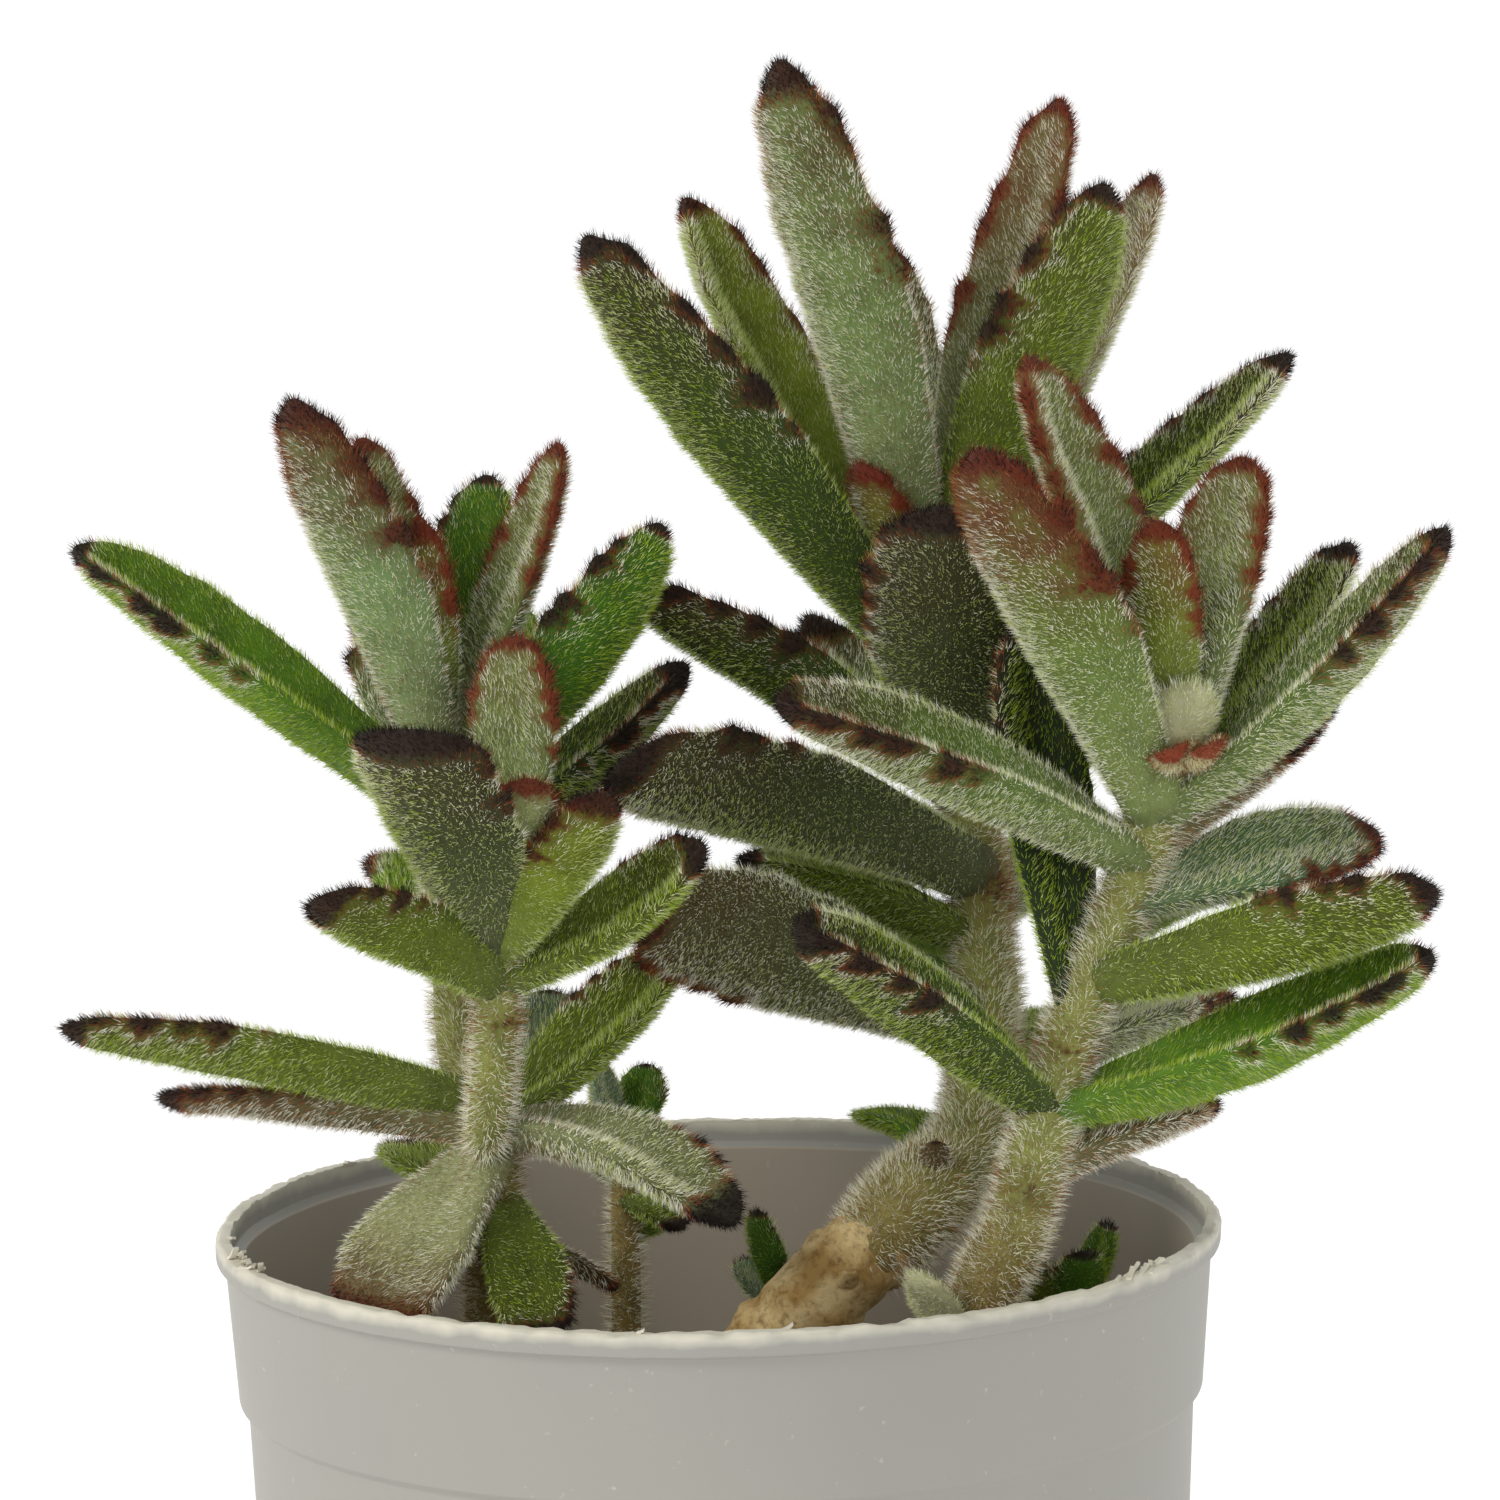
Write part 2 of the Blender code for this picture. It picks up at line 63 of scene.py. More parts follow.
# Stems and trunk: routes of (x, y, z, radius), close to the solids'.
STEMS = {
    "left_back_shoot": (
        (-22.2, -14, 62, 3), (-22, -14, 93, 2.8), (-22.2, -14, 104.5, 2.6),
        (-25, -11, 111.5, 2), (-25.5, -8, 119, 2), (-25.9, -6, 130, 2.2),
        (-25.8, -6, 140, 2)),
    "left_front_shoot": (
        (-22.2, -15, 103, 1.7), (-22, -18.6, 105, 2), (-21.2, -20.2, 111, 2.1),
        (-20.5, -21, 122, 2.1), (-20, -21, 131, 1.8)),
    "right_back_shoot": (
        (13.6, -12.3, 89.9, 3.9), (16.6, -11.4, 92.7, 4.8), (19.2, -10.5, 95, 4.9),
        (21.6, -9.2, 97, 4.5), (24.4, -7, 99.8, 4), (26.2, -4, 104.4, 3.5),
        (27.2, 3, 113, 3.2), (26.8, 8, 125, 2.9), (25.2, 10, 136, 2.8),
        (22.6, 11, 148, 2.5), (22.3, 11, 155, 1.9)),
    "right_front_shoot": (
        (20, -22.5, 61, 3.2), (22.4, -23, 76.7, 3.2), (25.6, -24, 89, 3.2),
        (28.8, -24, 95.8, 3.1), (32.2, -22, 107, 2.8), (35.9, -20, 117.4, 2.6),
        (39.9, -18, 126.2, 2.5), (42.6, -18, 134.4, 2.4), (45.3, -18, 141, 2)),
    "back_offset": ((-10.4, 14, 61, 1.6), (-9.7, 15, 80.6, 1.5), (-9.8, 18, 97, 1.3)),
    "middle_offset": ((5.9, 18, 61, 1.7), (6.7, 18, 80, 1.4)),
    "right_offset": ((34.1, 4, 61, 1.8), (34.8, 4, 81, 1.5)),
}
TRUNK = ((-10, -12, 61, 4), (-4, -12.3, 71, 4.3), (2.2, -13, 78.6, 4.5),
         (9.2, -13, 86.2, 4.6), (15, -11.8, 91.2, 4.5), (21, -9.4, 95.6, 4.1))

# Leaves: (height of the root on the stem, reach right, back and up, width, turn, bow, look).
LEAVES = {
    "left_back_shoot": (
        (134, -35.5, -4, 27, 10, 24, -1.5, "green"), (137, -11.5, -6, 38.5, 11, -25, 0.5, "tanned"),
        (138, -6.5, 5.5, 33.5, 9, 0, 0, "rosy"), (138.5, -2, -3.5, 24.5, 6, 0, 0, "young"),
        (138, 3.5, 11, 29, 8.5, 0, 0, "bright"), (137.5, 11, 3, 33, 8.5, 15, 0.5, "rosy"),
        (134.5, 20.5, -2.5, 29.5, 10, -45, 2.5, "bright"), (129.5, 24, 4, 18, 8.5, 10, 1, "dark"),
        (136, -7.5, 23, 17.5, 9.5, 0, 1, "frosted"), (133, 5, 25, 19, 9.5, 0, 1, "green"),
        (129, -1, 28.5, 7, 9.5, 0, -1, "olive"), (122, -6.5, 22, 4.5, 9, 0, -1, "green"),
        (107, -39.5, -6.5, 9, 9.5, -20, -1, "olive"), (104.5, -32.5, 5.5, 2.5, 8.5, -15, -1, "withered"),
        (104.5, 19, 10.5, 16, 9, 15, 1, "olive"), (104, 25, -14, -6.5, 10, 8, -3, "silver"),
        (101, -11.5, -10, -15.5, 13, 10, -2, "tan"), (99, 5.5, -11.5, -13, 8, 0, -1, "olive"),
        (106, 6, 18.5, 8.5, 9, 0, 1, "shade"), (97, -9.5, 17, 3.5, 9, 0, -1, "olive"),
        (94.5, 11.5, 6.5, -6.5, 4.5, 0, -1.5, "withered")),
    "left_front_shoot": (
        (130, 3, 7, 22.5, 8.5, 0, -0.5, "rosy"), (126, -6.4, -14, 21, 13.2, 0, 1.5, "slate"),
        (123.5, 3.4, -7, 17, 8.5, -15, 0.5, "notched"), (124, 9.5, -6, 15.5, 9.5, -15, 1.5, "lime"),
        (121, -15.5, -11, 10.5, 9.5, -30, 0, "olive"), (120, 20, -3.5, 13.5, 9, 35, 1.5, "olive")),
    "right_back_shoot": (
        (145, -33, -9, 46.5, 11, -45, 3, "dark"), (147, -23.5, 13, 46.5, 10, 14, 1.5, "lime"),
        (151, -11.8, -8.5, 56, 13, -12, 1, "frosted"), (151.5, 12.5, 12.5, 51, 10, 0, 0.5, "ruddy"),
        (150, 15.8, -1.5, 45, 11.5, -55, 2, "olive"), (148.5, 23, 15, 46, 9.5, 0, 1, "faded"),
        (143.5, 35.5, 7.5, 32, 10, 15, 0.5, "dark"), (148, -6.5, -8, 19, 7, 0, 0, "young"),
        (135, -2.8, -22, 30, 14.5, 0, 3, "slate"), (147, -5.5, 23, 41, 11, 0, 1, "frosted"),
        (144, 8.5, 25, 34, 11, 0, 1, "green"), (140, 14.5, 25.5, 18, 10.5, 0, 1, "olive"),
        (137, -5, 28, 17, 10.5, 0, 1, "green"), (130, 24, 25, 15.5, 10.5, 0, 0.5, "dark"),
        (133, -33, -6.5, 22.5, 9.5, -35, -1, "dark"), (134.5, -14.5, 14, 15.5, 9.5, 0, 1, "frosted"),
        (124.5, -35, -28.5, 16, 13.5, -40, -1.5, "slate"), (110, -33.5, -16, 15, 13.5, -60, -3, "dusky"),
        (119.5, -24.5, 0, 8.5, 9, 0, -1, "olive"), (98.5, -8.5, 15, 2, 5.5, 0, -1.5, "bright"),
        (97, -0.4, -6.2, 5.4, 2.8, 0, 0, "stub"), (126, -21.5, 21.5, 4, 10, 0, -1, "olive"),
        (120, 12.5, 30, 3, 10.5, 0, -1, "dusky"), (114, -18.5, 22.5, 2, 10, 0, -1, "green"),
        (108, 15.5, 30, -3.5, 10, 0, -1.5, "olive")),
    "right_front_shoot": (
        (135.5, -15, -11.5, 35.5, 13.5, -10, 1.5, "blush"), (138, -11, 8.5, 40, 11.5, 0, -0.5, "rosy"),
        (139, -1.8, -3.5, 24, 7.5, 0, 0, "young"), (139, 7, 6.5, 29, 11.5, 0, 0, "rosy"),
        (134.5, 28.5, -2, 27, 9.5, 12, 1, "pale"), (137, 19.5, 14, 22, 9, 0, 0.5, "dark"),
        (139.5, 0.9, -4.5, 8.6, 6.6, 0, 1, "tuft"), (140.6, -1.4, -7.8, 1.4, 4.8, -20, 0.3, "bud"),
        (140.6, 2.8, -7.6, 1.8, 4.8, 20, 0.3, "bud"), (83, -5.2, -4.5, 9, 5.8, 0, 0, "tuft"),
        (132, 19, 11, 12, 9, 0, 0, "withered"), (126.5, 25.5, 10, 4.5, 10.5, 30, -1, "teal"),
        (119, 32, -8.5, 10, 10.5, -45, 1.5, "olive"), (107.5, 36.5, -4.5, 14.5, 10.5, 15, 1, "green"),
        (102, 18, 13, 3.5, 9.5, 0, -1, "withered"), (130, -34.5, -13.5, 17, 11, 22, -2, "pale"),
        (116, -5, 9.5, 37, 9.5, 0, 0.5, "deep"), (107, -24, -12, 20, 10.5, 20, -1.5, "dark"),
        (131, 11, 20, 18, 10, 0, 0, "green"), (124, 15, 24, 3.5, 10, 0, -1, "olive"),
        (112, 16, 27, 0, 10, 0, -1, "dusky")),
    "back_offset": (
        (96, -2.5, 1, 9, 5.5, 0, 0, "shade"), (95, 3, 5, 8, 5.5, 0, 0, "bright"),
        (92, -6.5, 5, 3, 5.5, 0, -0.5, "shade"), (90, 6, -5.5, -1.5, 5, 0, -1, "olive"),
        (88, 5, 7, 1, 5.5, 0, -0.5, "bright")),
    "middle_offset": (
        (79, -2.5, -1.5, 9, 5, 0, 0.5, "bright"), (78.5, 2.5, -4, 7.5, 5, 0, 0.5, "olive"),
        (78, 5, 3.5, 6.5, 5, 0, 0.5, "bright"), (77, -4.5, 4, 5, 5, 0, 0, "shade")),
    "right_offset": (
        (80, 4.5, 1.5, 8.5, 5.5, 0, 0.5, "bright"), (79, -3.5, -3, 9, 5.5, 0, 0.5, "olive"),
        (79, 1.8, -5, 9.5, 5.5, 0, 0.5, "bright"), (78, -2.5, 6, 6, 5.5, 0, 0, "shade")),
}

# Looks of a leaf: (skin, share of pale down over it, size of the dark tip, strength of the margin,
# redness of margin and tip, brown haze over the outer half, kind of hair from 0 green to 5 nearly black).
LOOKS = {
    "frosted": ("5A723A", 0.72, 0.110, 0.55, 0.20, 0.85, 2.2),
    "tanned": ("5E7E4C", 0.90, 0.09, 0.80, 0.35, 1.50, 2.0),
    "blush": ("5A7424", 0.50, 0.07, 0.90, 0.60, 1.60, 1.7),
    "pale": ("527022", 0.45, 0.07, 0.85, 0.15, 0.95, 1.6),
    "silver": ("6A7048", 0.95, 0.11, 0.60, 0.00, 0.50, 2.0),
    "teal": ("48704A", 0.45, 0.07, 1.00, 0.50, 0.40, 1.5),
    "green": ("4E7A0C", 0.14, 0.05, 0.90, 0.05, 0.40, 0.1),
    "bright": ("3C6C08", 0.12, 0.04, 0.80, 0.05, 0.35, 0.1),
    "olive": ("54620A", 0.18, 0.07, 0.80, 0.10, 0.55, 0.4),
    "dark": ("30440A", 0.08, 0.08, 0.85, 0.05, 0.95, 0.4),
    "deep": ("0E2404", 0.05, 0.07, 0.60, 0.00, 0.50, 0.0),
    "shade": ("74907A", 0.55, 0.03, 0.30, 0.10, 0.20, 1.6),
    "slate": ("2C3416", 0.25, 0.07, 0.60, 0.05, 0.90, 1.0),
    "dusky": ("3E4226", 0.45, 0.05, 0.70, 0.35, 0.70, 1.6),
    "rosy": ("66783C", 0.50, 0.06, 1.35, 0.85, 0.55, 1.6),
    "ruddy": ("6C7040", 0.50, 0.07, 1.25, 0.75, 1.10, 1.8),
    "faded": ("9A8E68", 0.80, 0.07, 0.50, 0.55, 0.70, 2.0),
    "young": ("6E7C1C", 0.40, 0.07, 1.60, 0.95, 1.00, 1.2),
    "notched": ("86905C", 0.85, 0.05, 1.50, 0.90, 0.25, 1.8),
    "lime": ("708012", 0.30, 0.07, 0.90, 0.35, 0.55, 0.8),
    "tan": ("8C8A62", 0.85, 0.11, 0.30, 0.60, 1.00, 2.0),
    "withered": ("4E4228", 0.45, 0.08, 0.80, 0.20, 0.90, 2.4),
    "stub": ("6E5434", 0.50, 0.02, 0.20, 0.10, 0.40, 2.5),
    "bud": ("CEC496", 0.95, 0.070, 1.00, 1.60, 0.05, 3.0),
    "tuft": ("C8C4A0", 0.95, 0.00, 0.00, 0.10, 0.00, 2.0),
    "stem": ("868A44", 0.60, 0.00, 0.00, 0.30, 0.00, 2.1),
}

# Leaves whose apex leans to one side: {leaf's place in the table: lean right, in mm}. The others lean
# a little at random. Blunt leaves start to taper further out.
LEANS = {
    "left_back_shoot": {0: 1.5, 1: -2.6, 2: -1.5, 3: 0.5, 4: 1.0, 5: 2.0, 6: 2.0, 13: 0.5, 15: -1.5},
    "left_front_shoot": {0: -1.2, 1: -1.0, 3: 1.5, 4: -1.5},
    "right_back_shoot": {0: -2.0, 1: -1.2, 2: -3.0, 3: 2.6, 4: 2.8, 5: 1.5, 6: 1.5, 7: -0.8, 8: 0.6},
    "right_front_shoot": {0: -2.8, 1: -2.4, 2: 0.4, 3: 1.0, 4: 1.5, 12: 1.0, 13: 1.0, 15: -1.0},
}
BLUNT = {"left_front_shoot": {1: 0.84}, "right_back_shoot": {8: 0.72, 16: 0.74, 17: 0.74}}

# Leaves folded along their middle, by how steeply each half rises.
FOLDS = {
    "left_back_shoot": {0: 0.60, 7: 0.60, 12: 0.30, 14: 0.50, 15: 0.30},
    "left_front_shoot": {4: 0.30, 5: 0.30},
    "right_back_shoot": {1: 0.60, 6: 0.30, 14: 0.40, 18: 0.40},
    "right_front_shoot": {1: 0.35, 4: 0.55, 12: 0.25, 13: 0.60, 15: 0.60, 16: 0.40, 17: 0.60},
}
FOLD = 0.12

# Leaf form. Places are shares of the leaf's length, widths and heights shares of its width or
# thickness, and sizes in millimetres are those of a leaf REFERENCE_WIDTH wide. RINGS counts the
# rings below and above the leaf's middle, and the points round it.
RINGS = (10, 24, 16)
SMALL_RINGS = (6, 12, 12)
SMALL_LEAF = 6.0
REFERENCE_WIDTH = 10.0
LAST_RING = 0.997
NECK = 0.50
WIDEST = 0.56
TAPER_FROM = 0.62
TAPER = 2.1
BLUNT_TAPER = 8.0
TAPER_FULLNESS = 0.53
THICKNESS = 0.44
LEAST_THICKNESS = 3.3
SMALL_THICKNESS = 0.55
TIP_THINNING = 0.45
TIP_ROUND_FROM = 0.92
TIP_ROUND_LENGTH = 0.085
MARGIN_LEVEL = 0.08
FACE_RISE = 0.34
KEEL_DROP = 0.68
CHANNEL = 0.30
CHANNEL_SPREAD = 0.50
RANDOM_LEAN = 1.1
LEAN_FROM = 0.40
COUNTER_LEAN = 0.25
RIPPLE = 0.25
RIPPLE_PITCH = 0.22

# Teeth, which are larger on the side that the apex leans away from.
TEETH = 5
TEETH_FROM = 0.55
TEETH_PITCH = 0.095
TEETH_JITTER = 0.03
TOOTH_RISE = 0.050
TOOTH_FALL = 0.014
TOOTH_DEPTH = 0.85
TOOTH_SIZES = (0.5, 1.2)
FIRST_TOOTH = 0.5
FAR_SIDE_TEETH = 1.15
NEAR_SIDE_TEETH = 0.6
FAINT_MARGIN = 0.35
RED_MARGIN = 0.6

# Colour over a leaf: pale and downy at its foot, hazed brown further out, dark at its tip. TIP_CAP is
# how far a cap with a share of 1 would reach, in millimetres.
PALE_FOOT = "A0A878"
PALE_FOOT_SHARE = 0.55
PALE_FOOT_TO = 0.65
FOOT_DOWN = 0.7
FOOT_DOWN_TO = 0.6
HAZE_FROM = 0.45
HAZE_TO = 0.90
HAZE_MIDDLE = 0.62
TIP_CAP = 62.0
SMALL_CAP = 0.5
DARK_TIP = 1.3
DARK_MARGIN = 1.2
DARK_HAZE = 0.40
GRAIN_ROUND = 0.36
GRAIN_APART = 11.0

# Stems, with the heights where leaves have dropped and left rusty scars, and each scar's reach.
STEM_SIDES = 16
STEM_SWELL = 0.10
STEM_HAIRS_ABOVE = 66.0
STEM_HAIR_SIZE = 1.35
OLD_STEM = "8C7440"
OLD_BELOW = 88.0
OLD_FADE = 16.0
SCARS = {"left_back_shoot": ((106.0, 3.0), (99.5, 3.0)), "left_front_shoot": ((116.5, 1.4),),
         "right_back_shoot": ((123.5, 4.0), (108.0, 1.5)), "right_front_shoot": ((99.0, 1.4), (112.0, 1.2))}

# Hairs, coarser than life so that they show. They are dry hollow cells: pale and matt on the blade,
# dark where they are pigmented. A hair's kind, rounded, is its place in HAIR_KINDS.
HAIRS_PER_MM2 = 15.2
HAIR_LENGTH = 1.05
HAIR_WIDTH = 0.085
HAIR_SIZES = (0.55, 1.25)
HAIR_LEAN = 0.75
HAIR_STRAY = 0.42
KIND_SPREAD = 0.7
DARKEST_KIND = 5.6
RED_KIND_STEP = 1.5
HAIR_KINDS = {"green_down": "9CB62E", "pale_green_down": "D4DC98", "pale_down": "F4F2E0",
              "tan_down": "A27A4C", "rust_down": "84381A", "black_brown_down": "1E110C"}

# Stems whose hairs are grown in several pieces, to keep each piece light.
PATCHES = {"left_back_shoot": 2, "right_back_shoot": 3, "right_front_shoot": 2}

# Trunk: the ringed relief of its bark, and stubs of broken shoots as (foot, top, radius).
TRUNK_SIDES = 48
BARK_RINGS = 0.28
BARK_ROUGHNESS = 0.55
BARK_GRIT = 0.2
STUBS = (((5.0, -16.0, 82.0), (4.4, -18.4, 84.6), 1.3), ((12.4, -15.6, 88.0), (12.8, -18.0, 90.4), 1.2))

# Pot, whose sizes below the rim follow the solid.
LIP_HEIGHT = 2.6
COLLAR_HEIGHT = 17.0
COLLAR_TOP_RADIUS = 49.2
COLLAR_LOW_RADIUS = 48.2
BODY_TOP_RADIUS = 47.3
BASE_RADIUS = 44.2
WALL = 1.6
WALL_THICKENING = 1.0
FLOOR = 2.5
EDGE = 0.4
POT_SIDES = 540
DRAIN_COUNT = 6
DRAIN_RADIUS = 4.0
DRAIN_CIRCLE = 28.0

# Torn flash on the rim: bunches as (place round the rim in degrees, spread, number), then strays.
FLASH_BUNCHES = ((-34, 2.2, 5), (-160, 3.0, 9))
FLASH_STRAYS = 16
FLASH_THICKNESS = 0.26

# Soil, with crumbs of damp peat and bark among which a few dry fibres are paler.
SOIL_TOP = POT_TOP - 24.0
SOIL_SIDES = 150
SOIL_RINGS = 44
CRUMBS_PER_MM2 = 0.14
CRUMB_SIZE = 0.75
CRUMBS = {"dark_peat": "2A1F17", "bark_fines": "5E4228", "dry_fibre": "8A6F4A"}

# Stage, in metres: a round floor, a curve up from it and a low wall.
FLOOR_RADIUS = 1.6
CURVE_RADIUS = 0.8
WALL_TOP = 2.0
SHADED_TO = 0.30
GLOWING_FROM = 0.85
LAMPS = (("key", (-0.85, -0.60, 0.90), 0.45, 6.5, (1.0, 0.98, 0.92)),
         ("fill", (0.9, -0.5, 0.45), 0.7, 0.3, (0.78, 0.90, 1.0)))
LAMPS_AIM = (0, 0, 0.12)


def linear(code):
    """The linear colour of an sRGB hex value."""
    parts = [int(code[i:i + 2], 16) / 255 for i in (0, 2, 4)]
    return [c / 12.92 if c <= 0.04045 else ((c + 0.055) / 1.055) ** 2.4 for c in parts] + [1.0]


def feed(tree, node, inputs):
    """Sets a node's inputs: each is a value, the socket that feeds it, or a node whose first socket does."""
    for key, value in inputs.items():
        if isinstance(value, bpy.types.Node):
            value = next(socket for socket in value.outputs if socket.enabled)
        if isinstance(value, bpy.types.NodeSocket):
            tree.links.new(value, node.inputs[key])
        else:
            node.inputs[key].default_value = value


def add(tree, kind, inputs=(), **settings):
    """Adds a node with its settings and its inputs, which are named or numbered, or else in their order.
    A mix of colours has its share as input 0 and its colours as 6 and 7."""
    node = tree.nodes.new(kind)
    for name, value in settings.items():
        setattr(node, name, value)
    feed(tree, node, inputs if isinstance(inputs, dict) else dict(enumerate(inputs)))
    return node


def material(name, inputs):
    """A material with only its Principled shader, with these inputs."""
    made = bpy.data.materials.new(name)
    made.use_nodes = True
    shader = made.node_tree.nodes["Principled BSDF"]
    feed(made.node_tree, shader, inputs)
    return made, made.node_tree, shader


def plain_materials(codes, roughness, specular):
    """A matt material of one colour for each name."""
    return [material(name, {"Base Color": linear(code), "Roughness": roughness,
                            "Specular IOR Level": specular})[0] for name, code in codes.items()]


def furry_leaf_skin():
    """Succulent skin under felted down: streaks of pale down run towards the tip, and the toothed
    margin and the tip turn red or dark brown. The eye sees a soft, matt, frosted leaf."""
    made, tree, shader = material("furry_leaf_skin", {
        "Roughness": 0.72, "Sheen Weight": 0.12, "Sheen Roughness": 0.5, "Specular IOR Level": 0.25,
        "Sheen Tint": linear("E8E6CF")})
    tone, mark, down, grain, veil = (
        add(tree, "ShaderNodeAttribute", attribute_name=name).outputs[output]
        for name, output in (("tone", "Color"), ("mark", "Vector"), ("down", "Fac"), ("grain", "Vector"),
                             ("veil", "Fac")))
    tip_mark, margin_mark, redness = add(tree, "ShaderNodeSeparateXYZ", {0: mark}).outputs
    fine = add(tree, "ShaderNodeVectorMath", (grain, (4.6, 1.1, 1.0)), operation="MULTIPLY")
    streaks = add(tree, "ShaderNodeTexNoise", {"Vector": fine, "Scale": 1.0, "Detail": 3.0, "Roughness": 0.62,
                                               "Distortion": 0.6})
    broad = add(tree, "ShaderNodeTexNoise", {"Vector": grain, "Scale": 0.33, "Detail": 2.0})
    spots = add(tree, "ShaderNodeTexNoise", {"Vector": grain, "Scale": 1.3, "Detail": 2.0})
    dim = add(tree, "ShaderNodeMapRange", (broad, 0.42, 0.75, 0.0, 0.45))
    shaded = add(tree, "ShaderNodeMix", {0: dim, 6: tone, 7: linear("22300E")}, data_type="RGBA")
    thick = add(tree, "ShaderNodeMapRange", (streaks, 0.38, 0.66, 0.12, 1.0))
    cover = add(tree, "ShaderNodeMath", (thick, down), operation="MULTIPLY")
    cover = add(tree, "ShaderNodeMath", (cover, 0.40), operation="MULTIPLY")
    furred = add(tree, "ShaderNodeMix", {0: cover, 6: shaded, 7: linear("9CA46C")}, data_type="RGBA")
    brown = add(tree, "ShaderNodeMix", {0: redness, 6: linear("2E240C"), 7: linear("6E4020")},
                data_type="RGBA")
    cloudy = add(tree, "ShaderNodeMath", (broad, 1.7), operation="MULTIPLY")
    veiled = add(tree, "ShaderNodeMath", (cloudy, veil), operation="MULTIPLY")
    furred = add(tree, "ShaderNodeMix", {0: veiled, 6: furred, 7: brown}, data_type="RGBA")
    margin = add(tree, "ShaderNodeMix", {0: redness, 6: linear("24150C"), 7: linear("7A3014")},
                 data_type="RGBA", clamp_factor=False)
    rough_edge = add(tree, "ShaderNodeMath", (spots, 0.9, margin_mark), operation="MULTIPLY_ADD")
    rim = add(tree, "ShaderNodeMapRange", (rough_edge, 0.85, 1.25, 0.0, 0.92),
              interpolation_type="SMOOTHSTEP")
    rimmed = add(tree, "ShaderNodeMix", {0: rim, 6: furred, 7: margin}, data_type="RGBA")
    rough_tip = add(tree, "ShaderNodeMath", (spots, 0.6, tip_mark), operation="MULTIPLY_ADD")
    tip = add(tree, "ShaderNodeMapRange", (rough_tip, 0.65, 1.1, 0.0, 0.95), interpolation_type="SMOOTHSTEP")
    tip_colour = add(tree, "ShaderNodeMix", {0: redness, 6: linear("1E120C"), 7: linear("6A2410")},
                     data_type="RGBA", clamp_factor=False)
    tipped = add(tree, "ShaderNodeMix", {0: tip, 6: rimmed, 7: tip_colour}, data_type="RGBA")
    bump = add(tree, "ShaderNodeBump", {"Height": streaks, "Strength": 0.55, "Distance": 0.25 * MM})
    feed(tree, shader, {"Base Color": tipped, "Normal": bump})
    return made


def corky_bark():
    """Old stem with a dry corky skin: warm brown, paler on its worn ridges, dark in its cracks. Its
    patches are about 4 mm across and its cracks 1 mm apart."""
    made, tree, shader = material("corky_bark", {"Roughness": 0.85, "Specular IOR Level": 0.25})
    place = add(tree, "ShaderNodeTexCoord").outputs["Object"]
    broad = add(tree, "ShaderNodeTexNoise", {"Vector": place, "Scale": 260.0, "Detail": 4.0})
    cracks = add(tree, "ShaderNodeTexNoise", {"Vector": place, "Scale": 900.0, "Detail": 5.0,
                                              "Roughness": 0.7})
    patch = add(tree, "ShaderNodeMapRange", (broad, 0.38, 0.62))
    base = add(tree, "ShaderNodeMix", {0: patch, 6: linear("B08E54"), 7: linear("D8C08C")}, data_type="RGBA")
    crack = add(tree, "ShaderNodeMapRange", (cracks, 0.30, 0.52, 0.25))
    split = add(tree, "ShaderNodeMix", {0: crack, 6: linear("704E28"), 7: base}, data_type="RGBA")
    bump = add(tree, "ShaderNodeBump", {"Height": cracks, "Strength": 0.8, "Distance": 0.4 * MM})
    feed(tree, shader, {"Base Color": split, "Normal": bump})
    return made


